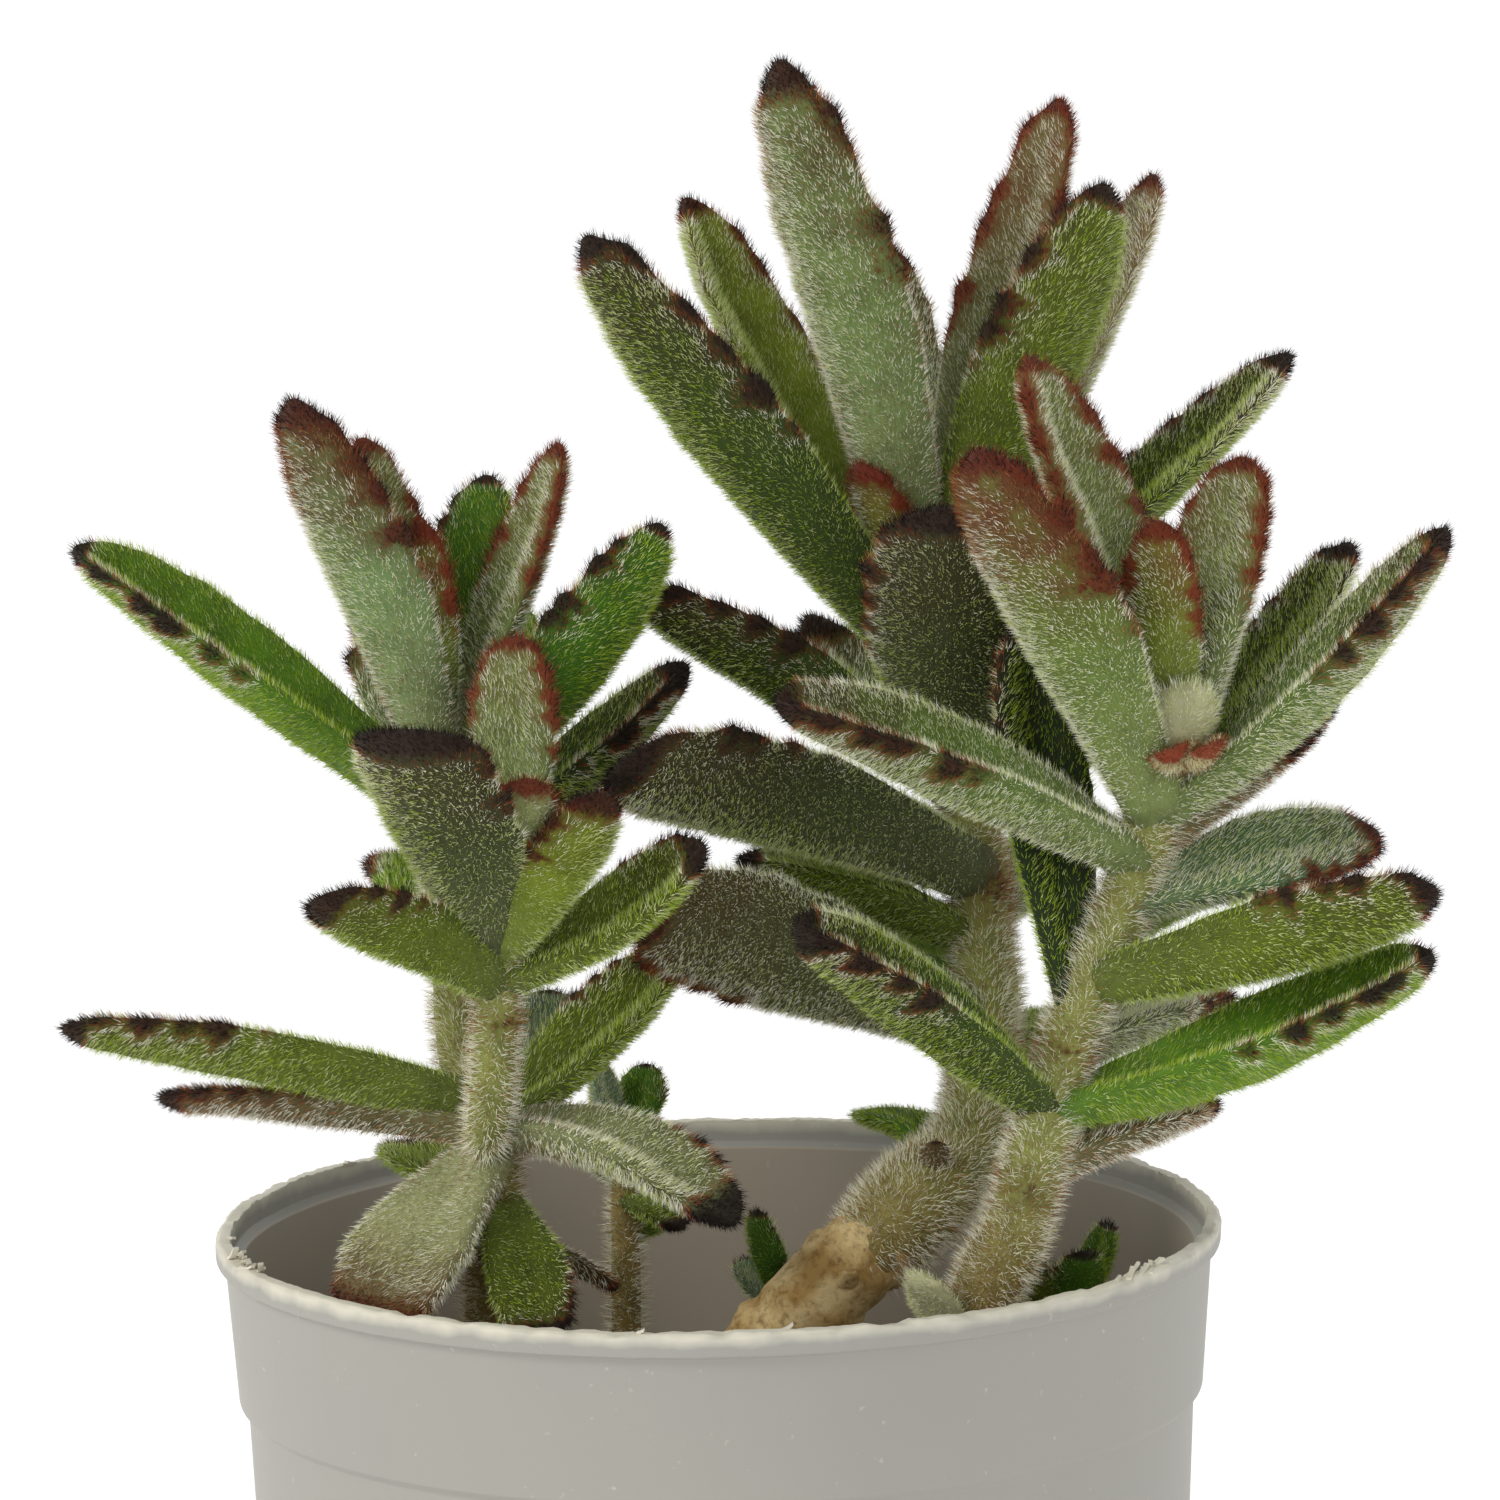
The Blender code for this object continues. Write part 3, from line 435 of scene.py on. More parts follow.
def moulded_polypropylene():
    """Off-white moulded plastic, matt and a little chalky, with dust, specks and scuffs from handling.
    It is dustier inside the pot. Along the top of the torn rim it is paler, partly from whitened torn plastic
    and partly from a painted highlight. Specks are about 1 mm across, and scuffs 3 mm wide and 55 mm tall."""
    made, tree, shader = material("moulded_polypropylene", {"Roughness": 0.5, "Specular IOR Level": 0.4})
    place = add(tree, "ShaderNodeTexCoord").outputs["Object"]
    cloud = add(tree, "ShaderNodeTexNoise", {"Vector": place, "Scale": 28.0, "Detail": 4.0})
    speck = add(tree, "ShaderNodeTexNoise", {"Vector": place, "Scale": 900.0, "Detail": 2.0})
    long = add(tree, "ShaderNodeMapping", {"Vector": place, "Scale": (300.0, 300.0, 18.0)})
    scuff = add(tree, "ShaderNodeTexNoise", {"Vector": long, "Scale": 1.0, "Detail": 3.0})
    tint = add(tree, "ShaderNodeMapRange", (cloud, 0.35, 0.65))
    base = add(tree, "ShaderNodeMix", {0: tint, 6: linear("989690"), 7: linear("9D9B93")}, data_type="RGBA")
    dots = add(tree, "ShaderNodeMapRange", (speck, 0.70, 0.78, 0.0, 0.25))
    dotted = add(tree, "ShaderNodeMix", {0: dots, 6: base, 7: linear("E4E0D2")}, data_type="RGBA")
    rub = add(tree, "ShaderNodeMapRange", (scuff, 0.62, 0.75, 0.0, 0.25))
    rubbed = add(tree, "ShaderNodeMix", {0: rub, 6: dotted, 7: linear("98938A")}, data_type="RGBA")
    high = add(tree, "ShaderNodeSeparateXYZ", {0: place}).outputs["Z"]
    flat = add(tree, "ShaderNodeVectorMath", (place, (1.0, 1.0, 0.0)), operation="MULTIPLY")
    radius = add(tree, "ShaderNodeVectorMath", {0: flat}, operation="LENGTH")
    slope = (BODY_TOP_RADIUS - BASE_RADIUS) / (POT_TOP - COLLAR_HEIGHT)
    outer = add(tree, "ShaderNodeMath", (high, slope, BASE_RADIUS * MM), operation="MULTIPLY_ADD")
    depth = add(tree, "ShaderNodeMath", (outer, radius), operation="SUBTRACT")
    inside = add(tree, "ShaderNodeMapRange", (depth, 0.1 * MM, 0.3 * MM, 0.0, 0.65))
    # A rough band along the top of the rim is painted paler: partly whitened torn plastic, partly a painted
    # highlight where light falls on the rim's top.
    rough = add(tree, "ShaderNodeTexNoise", {"Vector": place, "Scale": 260.0, "Detail": 3.0})
    height = add(tree, "ShaderNodeMath", (rough, 1.6 * MM, high), operation="MULTIPLY_ADD")
    worn = add(tree, "ShaderNodeMapRange", (height, (POT_TOP - 0.60) * MM, (POT_TOP + 0.60) * MM, 0.0, 0.80))
    dusty = add(tree, "ShaderNodeMix", {0: inside, 6: rubbed, 7: linear("AC9E8C")}, data_type="RGBA")
    # Lays the painted rim highlight, with the whitened torn plastic, over the dusty colour.
    torn = add(tree, "ShaderNodeMix", {0: worn, 6: dusty, 7: linear("DAD5C3")}, data_type="RGBA")
    shine = add(tree, "ShaderNodeMapRange", (cloud, 0.3, 0.7, 0.42, 0.62))
    bump = add(tree, "ShaderNodeBump", {"Height": speck, "Strength": 0.15, "Distance": 0.1 * MM})
    feed(tree, shader, {"Base Color": torn, "Roughness": shine, "Normal": bump})
    return made


def potting_mix():
    """Damp mix of bark fines and peat, dark and rough, in lumps of about 2 mm."""
    made, tree, shader = material("potting_mix", {"Roughness": 0.95, "Specular IOR Level": 0.2})
    place = add(tree, "ShaderNodeTexCoord").outputs["Object"]
    lumps = add(tree, "ShaderNodeTexNoise", {"Vector": place, "Scale": 520.0, "Detail": 4.0})
    share = add(tree, "ShaderNodeMapRange", (lumps, 0.35, 0.68))
    base = add(tree, "ShaderNodeMix", {0: share, 6: linear("1F1712"), 7: linear("5A4632")}, data_type="RGBA")
    bump = add(tree, "ShaderNodeBump", {"Height": lumps, "Strength": 0.9, "Distance": 0.6 * MM})
    feed(tree, shader, {"Base Color": base, "Normal": bump})
    return made


def ease(t):
    """Rises smoothly from 0 to 1 while t does."""
    t = np.clip(t, 0.0, 1.0)
    return t * t * (3 - 2 * t)


def fade(s, start, end):
    """Rises smoothly from 0 to 1 while s goes from start to end."""
    return ease((s - start) / (end - start))


def unit(v):
    return v / np.linalg.norm(v, axis=-1, keepdims=True)


def round_angles(sides):
    return np.linspace(0, 2 * np.pi, sides, endpoint=False)


def along(route, steps):
    """Points of a smooth curve through the route, each with its radius."""
    knots = np.array(route, float)
    padded = np.vstack([knots[0], knots, knots[-1]])
    points = []
    for before, start, end, after in zip(padded, padded[1:], padded[2:], padded[3:]):
        for t in np.arange(steps) / steps:
            points.append(0.5 * (2 * start + (end - before) * t
                                 + (2 * before - 5 * start + 4 * end - after) * t ** 2
                                 + (3 * start - before - 3 * end + after) * t ** 3))
    points.append(knots[-1])
    return np.array(points)


def tube(points, sides, radius_at):
    """Rings round a route, the way and the distance along it at each ring, and each side's angle."""
    ways = unit(np.gradient(points[:, :3], axis=0))
    steps = np.concatenate([[0], np.cumsum(np.linalg.norm(np.diff(points[:, :3], axis=0), axis=1))])
    theta = round_angles(sides)
    grid = np.zeros((len(points), sides, 3))
    side = np.array([1.0, 0, 0])
    for i, (point, way) in enumerate(zip(points, ways)):
        side = unit(side - way * side.dot(way))
        other = np.cross(way, side)
        for k, angle in enumerate(theta):
            outward = side * math.cos(angle) + other * math.sin(angle)
            grid[i, k] = point[:3] + outward * radius_at(point, outward, steps[i], angle)
    return grid, ways, steps, theta


def mesh_of(bm, name):
    """The bmesh as a mesh."""
    made = bpy.data.meshes.new(name)
    bm.to_mesh(made)
    bm.free()
    return made


def turned(profile, sides, merge):
    """A profile of (radius, height) in metres, turned round the upright axis and closed at its seam."""
    bm = bmesh.new()
    corners = [bm.verts.new((radius, 0, z)) for radius, z in profile]
    edges = [bm.edges.new(pair) for pair in zip(corners, corners[1:])]
    bmesh.ops.spin(bm, geom=corners + edges, cent=(0, 0, 0), axis=(0, 0, 1), angle=2 * math.pi,
                   steps=sides, use_merge=False)
    bmesh.ops.remove_doubles(bm, verts=bm.verts, dist=merge)
    bmesh.ops.recalc_face_normals(bm, faces=bm.faces)
    return bm


def placed(name, data):
    """Links an object with this data to the scene."""
    made = bpy.data.objects.new(name, data)
    bpy.context.scene.collection.objects.link(made)
    return made


def carried_out(piece):
    """A plain mesh of the piece after its modifiers."""
    bpy.context.view_layer.update()
    return bpy.data.meshes.new_from_object(piece.evaluated_get(bpy.context.evaluated_depsgraph_get()))


def shown(name, mesh):
    """Links a finished mesh as a piece that rides on the plant's one body."""
    piece = placed(name, mesh)
    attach(piece, "root")
    return piece


class Skin:
    """Collects closed grids of points with values at each point, and makes one mesh of them."""

    def __init__(self):
        self.points, self.faces, self.values = [], [], {}
        self.count = 0

    def add(self, grid, root, tip, values):
        """Adds rings of points, closed at both ends by a point, with a value for each of them."""
        rings, around = grid.shape[:2]
        base = self.count
        self.points += [grid.reshape(-1, 3), np.array([root, tip])]
        for i in range(rings - 1):
            for k in range(around):
                j = (k + 1) % around
                self.faces.append((base + i * around + k, base + i * around + j,
                                   base + (i + 1) * around + j, base + (i + 1) * around + k))
        low, high = base + rings * around, base + rings * around + 1
        last = base + (rings - 1) * around
        for k in range(around):
            j = (k + 1) % around
            self.faces.append((base + j, base + k, low))
            self.faces.append((last + k, last + j, high))
        self.count += rings * around + 2
        for name, value in values.items():
            width = value.shape[2:]
            ends = np.array([value[0].mean(0), value[-1].mean(0)]).reshape(2, *width)
            self.values.setdefault(name, []).append(np.concatenate([value.reshape(-1, *width), ends]))

    def mesh(self, name, stuff):
        """The grids as one smooth mesh of this material, with the values as its attributes."""
        bm = bmesh.new()
        corners = [bm.verts.new(point) for point in np.concatenate(self.points) * MM]
        for face in self.faces:
            bm.faces.new([corners[i] for i in face])
        bmesh.ops.recalc_face_normals(bm, faces=bm.faces)
        made = mesh_of(bm, name)
        made.shade_smooth()
        made.materials.append(stuff)
        for key, chunks in self.values.items():
            value = np.concatenate(chunks)
            kind, field = {1: ("FLOAT", "value"), 3: ("FLOAT_VECTOR", "vector"),
                           4: ("FLOAT_COLOR", "color")}[value[0].size]
            made.attributes.new(key, kind, "POINT").data.foreach_set(field, value.astype(np.float32).ravel())
        return made


def blade_face(reach, turn):
    """The way a blade's upper face looks: up, and turned about its length by so many degrees outwards."""
    way = unit(reach)
    face = unit(np.array([0, 0, 1.0]) - way * way[2])
    angle = math.radians(turn) * (1 if reach[0] >= 0 else -1)
    return face * math.cos(angle) + np.cross(way, face) * math.sin(angle)


def blade_shape(s, taper_from):
    """A blade's width without its teeth, as a share of the widest, at each place along it."""
    shape = NECK + (1 - NECK) * ease(s / WIDEST)
    fullness = TAPER + BLUNT_TAPER * (taper_from - TAPER_FROM)
    return shape * (1 - (np.clip(s - taper_from, 0, 1) / (1 - taper_from)) ** fullness) ** TAPER_FULLNESS


def margin_teeth(s, lean, red, rng):
    """How far the teeth of both margins stand out at each place, and how strongly each margin is marked."""
    teeth = np.zeros((2, len(s)))
    gain = [1.0, 1.0]
    for side in (0, 1):
        away = FAR_SIDE_TEETH if (side == 0) == (lean < 0) else NEAR_SIDE_TEETH
        gain[side] = 1.0 if away > 1 or red else FAINT_MARGIN
        for k in range(TEETH):
            at = TEETH_FROM + TEETH_PITCH * k + rng.uniform(-TEETH_JITTER, TEETH_JITTER)
            ahead = (s - at) / np.where(s < at, TOOTH_RISE, TOOTH_FALL)
            size = rng.uniform(*TOOTH_SIZES) * away * (FIRST_TOOTH if k == 0 else 1.0)
            teeth[side] = np.maximum(teeth[side], size * np.exp(-ahead ** 2))
    return teeth, gain


def leaf_values(look, s, theta, tooth, gain, width, length, way, rng, number, patch):
    """The colour, down and hairs of a leaf at each of its points."""
    code, down, tip_share, margin, redness, haze, kind = LOOKS[look]
    small = width < SMALL_LEAF
    across = np.cos(theta)
    everywhere = np.ones((len(s), len(theta)))
    tone = np.array(linear(code))
    tone[:3] *= rng.uniform(0.90, 1.10)
    rim = np.abs(across)[None, :] ** 6 * (0.10 + 0.90 * fade(s, 0.35, 0.85)[:, None])
    edge = margin * (0.5 if small else 1.0) * (0.50 * rim + 0.95 * tooth) * np.where(across > 0, *gain)
    cap = TIP_CAP * tip_share * (SMALL_CAP if small else 1.0) + 0.01
    tip = (1 - ease((1 - s) * length / cap))[:, None] * everywhere
    veil = haze * fade(s, HAZE_FROM, HAZE_TO)[:, None] * (HAZE_MIDDLE + (1 - HAZE_MIDDLE) * across ** 2)
    darkness = np.clip(np.maximum(np.maximum(tip * DARK_TIP, edge * DARK_MARGIN), veil * DARK_HAZE), 0, 1)
    blend = darkness + (ease(ease(darkness)) - darkness) * (1 - min(redness, 1.0))
    paler = PALE_FOOT_SHARE * down * (1 - ease(s / PALE_FOOT_TO))[:, None, None]
    pale_kind = kind + down * (0.4 - ease(s / 0.7))[:, None]
    dark_kind = DARKEST_KIND - RED_KIND_STEP * min(redness, 1.1)
    return {
        "tone": tone * (1 - paler) + np.array(linear(PALE_FOOT)) * paler * everywhere[..., None],
        "down": down * (1 + FOOT_DOWN * (1 - ease(s / FOOT_DOWN_TO)))[:, None] * everywhere,
        "veil": veil,
        "mark": np.dstack(np.broadcast_arrays(tip, edge, redness)),
        "grain": np.dstack(np.broadcast_arrays(theta * width * GRAIN_ROUND, (s * length)[:, None],
                                               number * GRAIN_APART)),
        "flow": np.broadcast_to(way[:, None], (*everywhere.shape, 3)),
        "hair_kind": pale_kind * (1 - blend) + dark_kind * blend,
        "hair_size": (0.85 + 0.30 * rim - 0.20 * tip) * (0.75 if small else 1.0),
        "hair_share": fade(s, 0.03, 0.13)[:, None] * (0.85 + 0.8 * rim + 0.3 * tip) * (
            0.6 if look == "deep" else 1.0),
        "patch": everywhere * patch,
    }


def leaf(skin, root, row, rng, number, patch, lean, taper_from, fold):
    """A fleshy blade with a hollowed face, a round keel and forward teeth that step in to a small apex."""
    reach, (width, turn, bow, look) = np.array(row[1:4]), row[4:]
    length = np.linalg.norm(reach)
    scale = width / REFERENCE_WIDTH
    small = width < SMALL_LEAF
    thick = max(SMALL_THICKNESS * width if small else LEAST_THICKNESS, THICKNESS * width)
    below, above, around = SMALL_RINGS if small else RINGS
    s = np.concatenate([np.linspace(0, 0.5, below, endpoint=False), np.linspace(0.5, LAST_RING, above)])
    theta = round_angles(around)
    across, upper = np.cos(theta), np.sin(theta) > 0
    face = blade_face(reach, turn)
    way = unit(reach - face * (4 * bow * (1 - 2 * s))[:, None])
    up = unit(face - way * (way @ face)[:, None])
    side_way = np.cross(way, up)
    rightward = 1.0 if side_way[0] @ np.array([1.0, 0.0, 0.5]) >= 0 else -1.0
    lean = rng.uniform(-RANDOM_LEAN, RANDOM_LEAN) * scale if lean is None else lean * rightward

    shape = blade_shape(s, taper_from)
    teeth, gain = margin_teeth(s, lean, LOOKS[look][4] > RED_MARGIN, rng)
    tooth = np.where(across > 0, teeth[0][:, None], teeth[1][:, None]) * across ** 2
    half = 0.5 * width * shape[:, None] + tooth * TOOTH_DEPTH * scale
    rounding = np.sqrt(np.clip(1 - np.clip(s - TIP_ROUND_FROM, 0, 1) / TIP_ROUND_LENGTH, 0.05, 1))
    body = thick * (1 - TIP_THINNING * fade(s, 0.45, 1.0)) * rounding
    channel = CHANNEL * thick * fade(s, 0.0, 0.3) * (1 - fade(s, 0.75, 1.0))
    full = np.clip(1 - across ** 2, 0, 1) ** 0.66
    lift = (MARGIN_LEVEL + np.where(upper, FACE_RISE, -KEEL_DROP) * full)[None, :] * body[:, None]
    lift -= np.where(upper, np.exp(-(across / CHANNEL_SPREAD) ** 2), 0)[None, :] * channel[:, None]
    lift += (np.abs(across) - 0.5)[None, :] * (fold * 0.5 * width * shape * fade(s, 0.0, 0.25))[:, None]
    bend = lean * (fade(s, LEAN_FROM, 1.0) - COUNTER_LEAN * np.sin(np.pi * s))
    middle = root + reach * s[:, None] - face * (4 * bow * s * (1 - s))[:, None] + side_way * bend[:, None]
    grid = middle[:, None] + side_way[:, None] * (across * half)[..., None] + up[:, None] * lift[..., None]
    ripple = rng.uniform(0, 50, 3)
    for i, k in np.ndindex(grid.shape[:2]):
        grid[i, k] += up[i] * RIPPLE * noise.noise(Vector(grid[i, k] * RIPPLE_PITCH + ripple))
    values = leaf_values(look, s, theta, tooth, gain, width, length, way, rng, number, patch)
    skin.add(grid, root, middle[-1] + way[-1] * (1 - LAST_RING) * length, values)


def stem(skin, name, number):
    """A round stem, swollen a little and browned where leaves have grown from it."""
    def radius_at(point, outward, step, angle):
        return point[3] * (1 + STEM_SWELL * noise.noise(Vector(point[:3] * 0.25 + outward + number)))

    code, down, _, _, redness, _, kind = LOOKS["stem"]
    points = along(STEMS[name], 8)
    heights = points[:, 2]
    grid, ways, steps, theta = tube(points, STEM_SIDES, radius_at)
    everywhere = np.ones(grid.shape[:2])
    old = (1 - ease((heights - OLD_BELOW) / OLD_FADE))[:, None, None] * everywhere[..., None]
    scar = everywhere * 0
    for height, reach in SCARS.get(name, ()):
        near = np.exp(-((heights - height) / reach) ** 2)[:, None]
        scar = np.maximum(scar, near * (0.62 + 0.25 * np.sin(theta * 2 + height)))
    skin.add(grid, points[0, :3], points[-1, :3], {
        "tone": np.array(linear(code)) * (1 - old) + np.array(linear(OLD_STEM)) * old,
        "down": everywhere * down,
        "veil": everywhere * 0,
        "mark": np.dstack(np.broadcast_arrays(0.0, 0.8 * scar, redness)),
        "grain": np.dstack(np.broadcast_arrays(theta * 2.4, steps[:, None], number * GRAIN_APART)),
        "flow": np.broadcast_to(ways[:, None] * 0.3, grid.shape),
        "hair_kind": kind + 1.2 * scar,
        "hair_size": everywhere * STEM_HAIR_SIZE,
        "hair_share": everywhere * ((heights > STEM_HAIRS_ABOVE) * ease(steps / 2.5))[:, None],
        "patch": everywhere * 0,
    })


def growth_tree(name, sockets):
    """An empty tree that grows something on a mesh, with a named input for the mesh and for each size."""
    tree = bpy.data.node_groups.new(name, "GeometryNodeTree")
    for socket, kind in sockets.items():
        tree.interface.new_socket(socket, in_out="INPUT", socket_type="NodeSocket" + kind)
    tree.interface.new_socket("Grown", in_out="OUTPUT", socket_type="NodeSocketGeometry")
    return tree, add(tree, "NodeGroupInput").outputs


def read(tree, name, kind="FLOAT"):
    """A named attribute of the mesh that the tree works on."""
    return add(tree, "GeometryNodeInputNamedAttribute", {"Name": name}, data_type=kind).outputs["Attribute"]


def scatter(tree, roots, kind, inputs, materials):
    """Puts instances on the roots, makes them one mesh and gives each the material that its kind
    rounds to."""
    kept = add(tree, "GeometryNodeStoreNamedAttribute",
               {"Geometry": roots.outputs["Points"], "Name": "kind", "Value": kind})
    placing = add(tree, "GeometryNodeInstanceOnPoints", {"Points": kept, **inputs})
    last = add(tree, "GeometryNodeRealizeInstances", {0: placing})
    kind = read(tree, "kind")
    for step, stuff in enumerate(materials):
        chosen = {"Geometry": last, "Material": stuff}
        if step:
            chosen["Selection"] = add(tree, "FunctionNodeCompare", (kind, step - 0.5),
                                      operation="GREATER_THAN")
        last = add(tree, "GeometryNodeSetMaterial", chosen)
    add(tree, "NodeGroupOutput", {0: last})


def hair_tree(materials):
    """Scatters hairs over a skin: each is a flat three-cornered sliver that leans with the skin's flow."""
    tree, given = growth_tree("coat_of_hairs", {
        "Skin": "Geometry", "Patch": "Float", "Hairs per square metre": "Float", "Length": "Float",
        "Width": "Float", "Seed": "Int"})
    here = add(tree, "FunctionNodeCompare", {0: read(tree, "patch"), 1: given["Patch"], "Epsilon": 0.1},
               operation="EQUAL")
    density = add(tree, "ShaderNodeMath", (read(tree, "hair_share"), given["Hairs per square metre"]),
                  operation="MULTIPLY")
    roots = add(tree, "GeometryNodeDistributePointsOnFaces",
                {"Mesh": given["Skin"], "Selection": here, "Density": density, "Seed": given["Seed"]})
    stray = add(tree, "FunctionNodeRandomValue", {0: (-1.0, -1.0, -1.0), 1: (1.0, 1.0, 1.0), "Seed": 3},
                data_type="FLOAT_VECTOR")
    stray = add(tree, "ShaderNodeVectorMath", {0: stray, "Scale": HAIR_STRAY}, operation="SCALE")
    lean = add(tree, "ShaderNodeVectorMath", {0: read(tree, "flow", "FLOAT_VECTOR"), "Scale": HAIR_LEAN},
               operation="SCALE")
    way = add(tree, "ShaderNodeVectorMath", (roots.outputs["Normal"], lean), operation="ADD")
    way = add(tree, "ShaderNodeVectorMath", (way, stray), operation="ADD")
    turn = add(tree, "FunctionNodeAlignRotationToVector", {"Vector": way}, axis="Z")
    roll = add(tree, "FunctionNodeRandomValue", {2: 0.0, 3: 2 * math.pi, "Seed": 7})
    roll = add(tree, "FunctionNodeAxisAngleToRotation", {"Axis": (0.0, 0.0, 1.0), "Angle": roll})
    turn = add(tree, "FunctionNodeRotateRotation", (turn, roll), rotation_space="LOCAL")
    # A circle of three corners is 1.5 radii tall and the root of 3 wide, with its foot half a radius down.
    flat = add(tree, "GeometryNodeMeshCircle", {"Vertices": 3, "Radius": 1.0}, fill_type="NGON")
    tall = add(tree, "ShaderNodeMath", (given["Length"], 1.5), operation="DIVIDE")
    wide = add(tree, "ShaderNodeMath", (given["Width"], math.sqrt(3)), operation="DIVIDE")
    foot = add(tree, "ShaderNodeMath", (given["Length"], 3.0), operation="DIVIDE")
    sliver = add(tree, "GeometryNodeTransform",
                 {"Geometry": flat, "Rotation": (0.0, -math.pi / 2, 0.0),
                  "Translation": add(tree, "ShaderNodeCombineXYZ", {2: foot}),
                  "Scale": add(tree, "ShaderNodeCombineXYZ", (tall, wide, 1.0))})
    vary = add(tree, "FunctionNodeRandomValue", {2: HAIR_SIZES[0], 3: HAIR_SIZES[1], "Seed": 5})
    size = add(tree, "ShaderNodeMath", (read(tree, "hair_size"), vary), operation="MULTIPLY")
    scale = add(tree, "ShaderNodeCombineXYZ", (1.0, 1.0, size))
    mixed = add(tree, "FunctionNodeRandomValue", {2: -KIND_SPREAD, 3: KIND_SPREAD, "Seed": 9})
    kind = add(tree, "ShaderNodeMath", (read(tree, "hair_kind"), mixed), operation="ADD")
    scatter(tree, roots, kind, {"Instance": sliver, "Rotation": turn, "Scale": scale}, materials)
    return tree


def crumb_tree(materials):
    """Scatters crumbs of bark and grit over the flat top of the soil."""
    tree, given = growth_tree("soil_crumbs", {
        "Soil": "Geometry", "Crumbs per square metre": "Float", "Size": "Float", "Seed": "Int"})
    level = add(tree, "ShaderNodeSeparateXYZ", {0: add(tree, "GeometryNodeInputNormal")}).outputs["Z"]
    top = add(tree, "FunctionNodeCompare", (level, 0.6), operation="GREATER_THAN")
    roots = add(tree, "GeometryNodeDistributePointsOnFaces",
                {"Mesh": given["Soil"], "Selection": top, "Density": given["Crumbs per square metre"],
                 "Seed": given["Seed"]})
    kind = add(tree, "FunctionNodeRandomValue", {2: -0.5, 3: len(materials) - 0.5, "Seed": 4})
    crumb = add(tree, "GeometryNodeMeshIcoSphere", {"Radius": given["Size"], "Subdivisions": 1})
    spin = add(tree, "FunctionNodeRandomValue", {0: (0.0, 0.0, 0.0), 1: (6.0, 6.0, 6.0), "Seed": 6},
               data_type="FLOAT_VECTOR")
    size = add(tree, "FunctionNodeRandomValue", {0: (0.4, 0.4, 0.3), 1: (2.2, 1.4, 0.9), "Seed": 8},
               data_type="FLOAT_VECTOR")
    scatter(tree, roots, kind, {"Instance": crumb, "Rotation": spin, "Scale": size}, materials)
    return tree


def grown(name, base, tree, wanted):
    """What a tree grows on a mesh, as a plain mesh of its own that rides on the plant."""
    holder = placed(name + "_holder", base.copy())
    holder.data.materials.clear()
    step = holder.modifiers.new("growth", "NODES")
    step.node_group = tree
    for socket in tree.interface.items_tree:
        if socket.in_out == "INPUT" and socket.name in wanted:
            step[socket.identifier] = wanted[socket.name]
    holder.update_tag()
    result = carried_out(holder)
    bpy.data.objects.remove(holder)
    result.name = name
    result.attributes.remove(result.attributes["kind"])
    shown(name, result)


def leafy_stem(name, skin_material, tree, number):
    """One stem with its leaves, and its hairs in one to three pieces."""
    rng = np.random.default_rng(100 + number)
    skin = Skin()
    patches = PATCHES.get(name, 1)
    route, leaves = along(STEMS[name], 6), LEAVES[name]
    stem(skin, name, number)
    for i, row in enumerate(leaves):
        root = route[np.argmin(np.abs(route[:, 2] - row[0])), :3]
        leaf(skin, root, row, rng, number * 40 + i, i * patches // len(leaves),
             LEANS.get(name, {}).get(i), BLUNT.get(name, {}).get(i, TAPER_FROM),
             FOLDS.get(name, {}).get(i, FOLD))
    mesh = skin.mesh(name + "_skin", skin_material)
    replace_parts(shown(name + "_skin", mesh), name)
    for patch in range(patches):
        grown(f"{name}_hairs_{patch + 1}", mesh, tree,
              {"Patch": float(patch), "Hairs per square metre": HAIRS_PER_MM2 / MM ** 2,
               "Length": HAIR_LENGTH * MM, "Width": HAIR_WIDTH * MM, "Seed": number * 10 + patch})


def make_trunk(bark):
    """The bare lower stem, ringed by the scars of dropped leaves, with the stubs of two shoots."""
    def radius_at(point, outward, step, angle):
        scar = math.sin(step * 1.25 + 1.6 * math.sin(angle + step * 0.35))
        rough = noise.noise(Vector(point[:3] * 0.45 + outward * 1.4))
        fine = noise.noise(Vector(point[:3] * 1.3 + outward * 4.5))
        return point[3] + BARK_RINGS * scar ** 3 + BARK_ROUGHNESS * rough + BARK_GRIT * fine

    points = along(TRUNK, 14)
    skin = Skin()
    skin.add(tube(points, TRUNK_SIDES, radius_at)[0], points[0, :3], points[-1, :3], {})
    level = np.linspace(0, 1, 9)
    ring = np.array([[math.cos(a), math.sin(a), 0] for a in round_angles(16)])
    for foot, top, radius in STUBS:
        foot, top = np.array(foot), np.array(top)
        girth = radius * (1 - 0.5 * level ** 2)
        stub = foot + (top - foot) * level[:, None, None] + ring[None] * girth[:, None, None]
        for i, k in np.ndindex(stub.shape[:2]):
            stub[i, k] += ring[k] * 0.35 * noise.noise(Vector(stub[i, k] * 1.1))
        skin.add(stub, foot, top + np.array([0, 0, -0.3]), {})
    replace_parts(shown("woody_trunk_bark", skin.mesh("woody_trunk_bark", bark)), "woody_trunk")


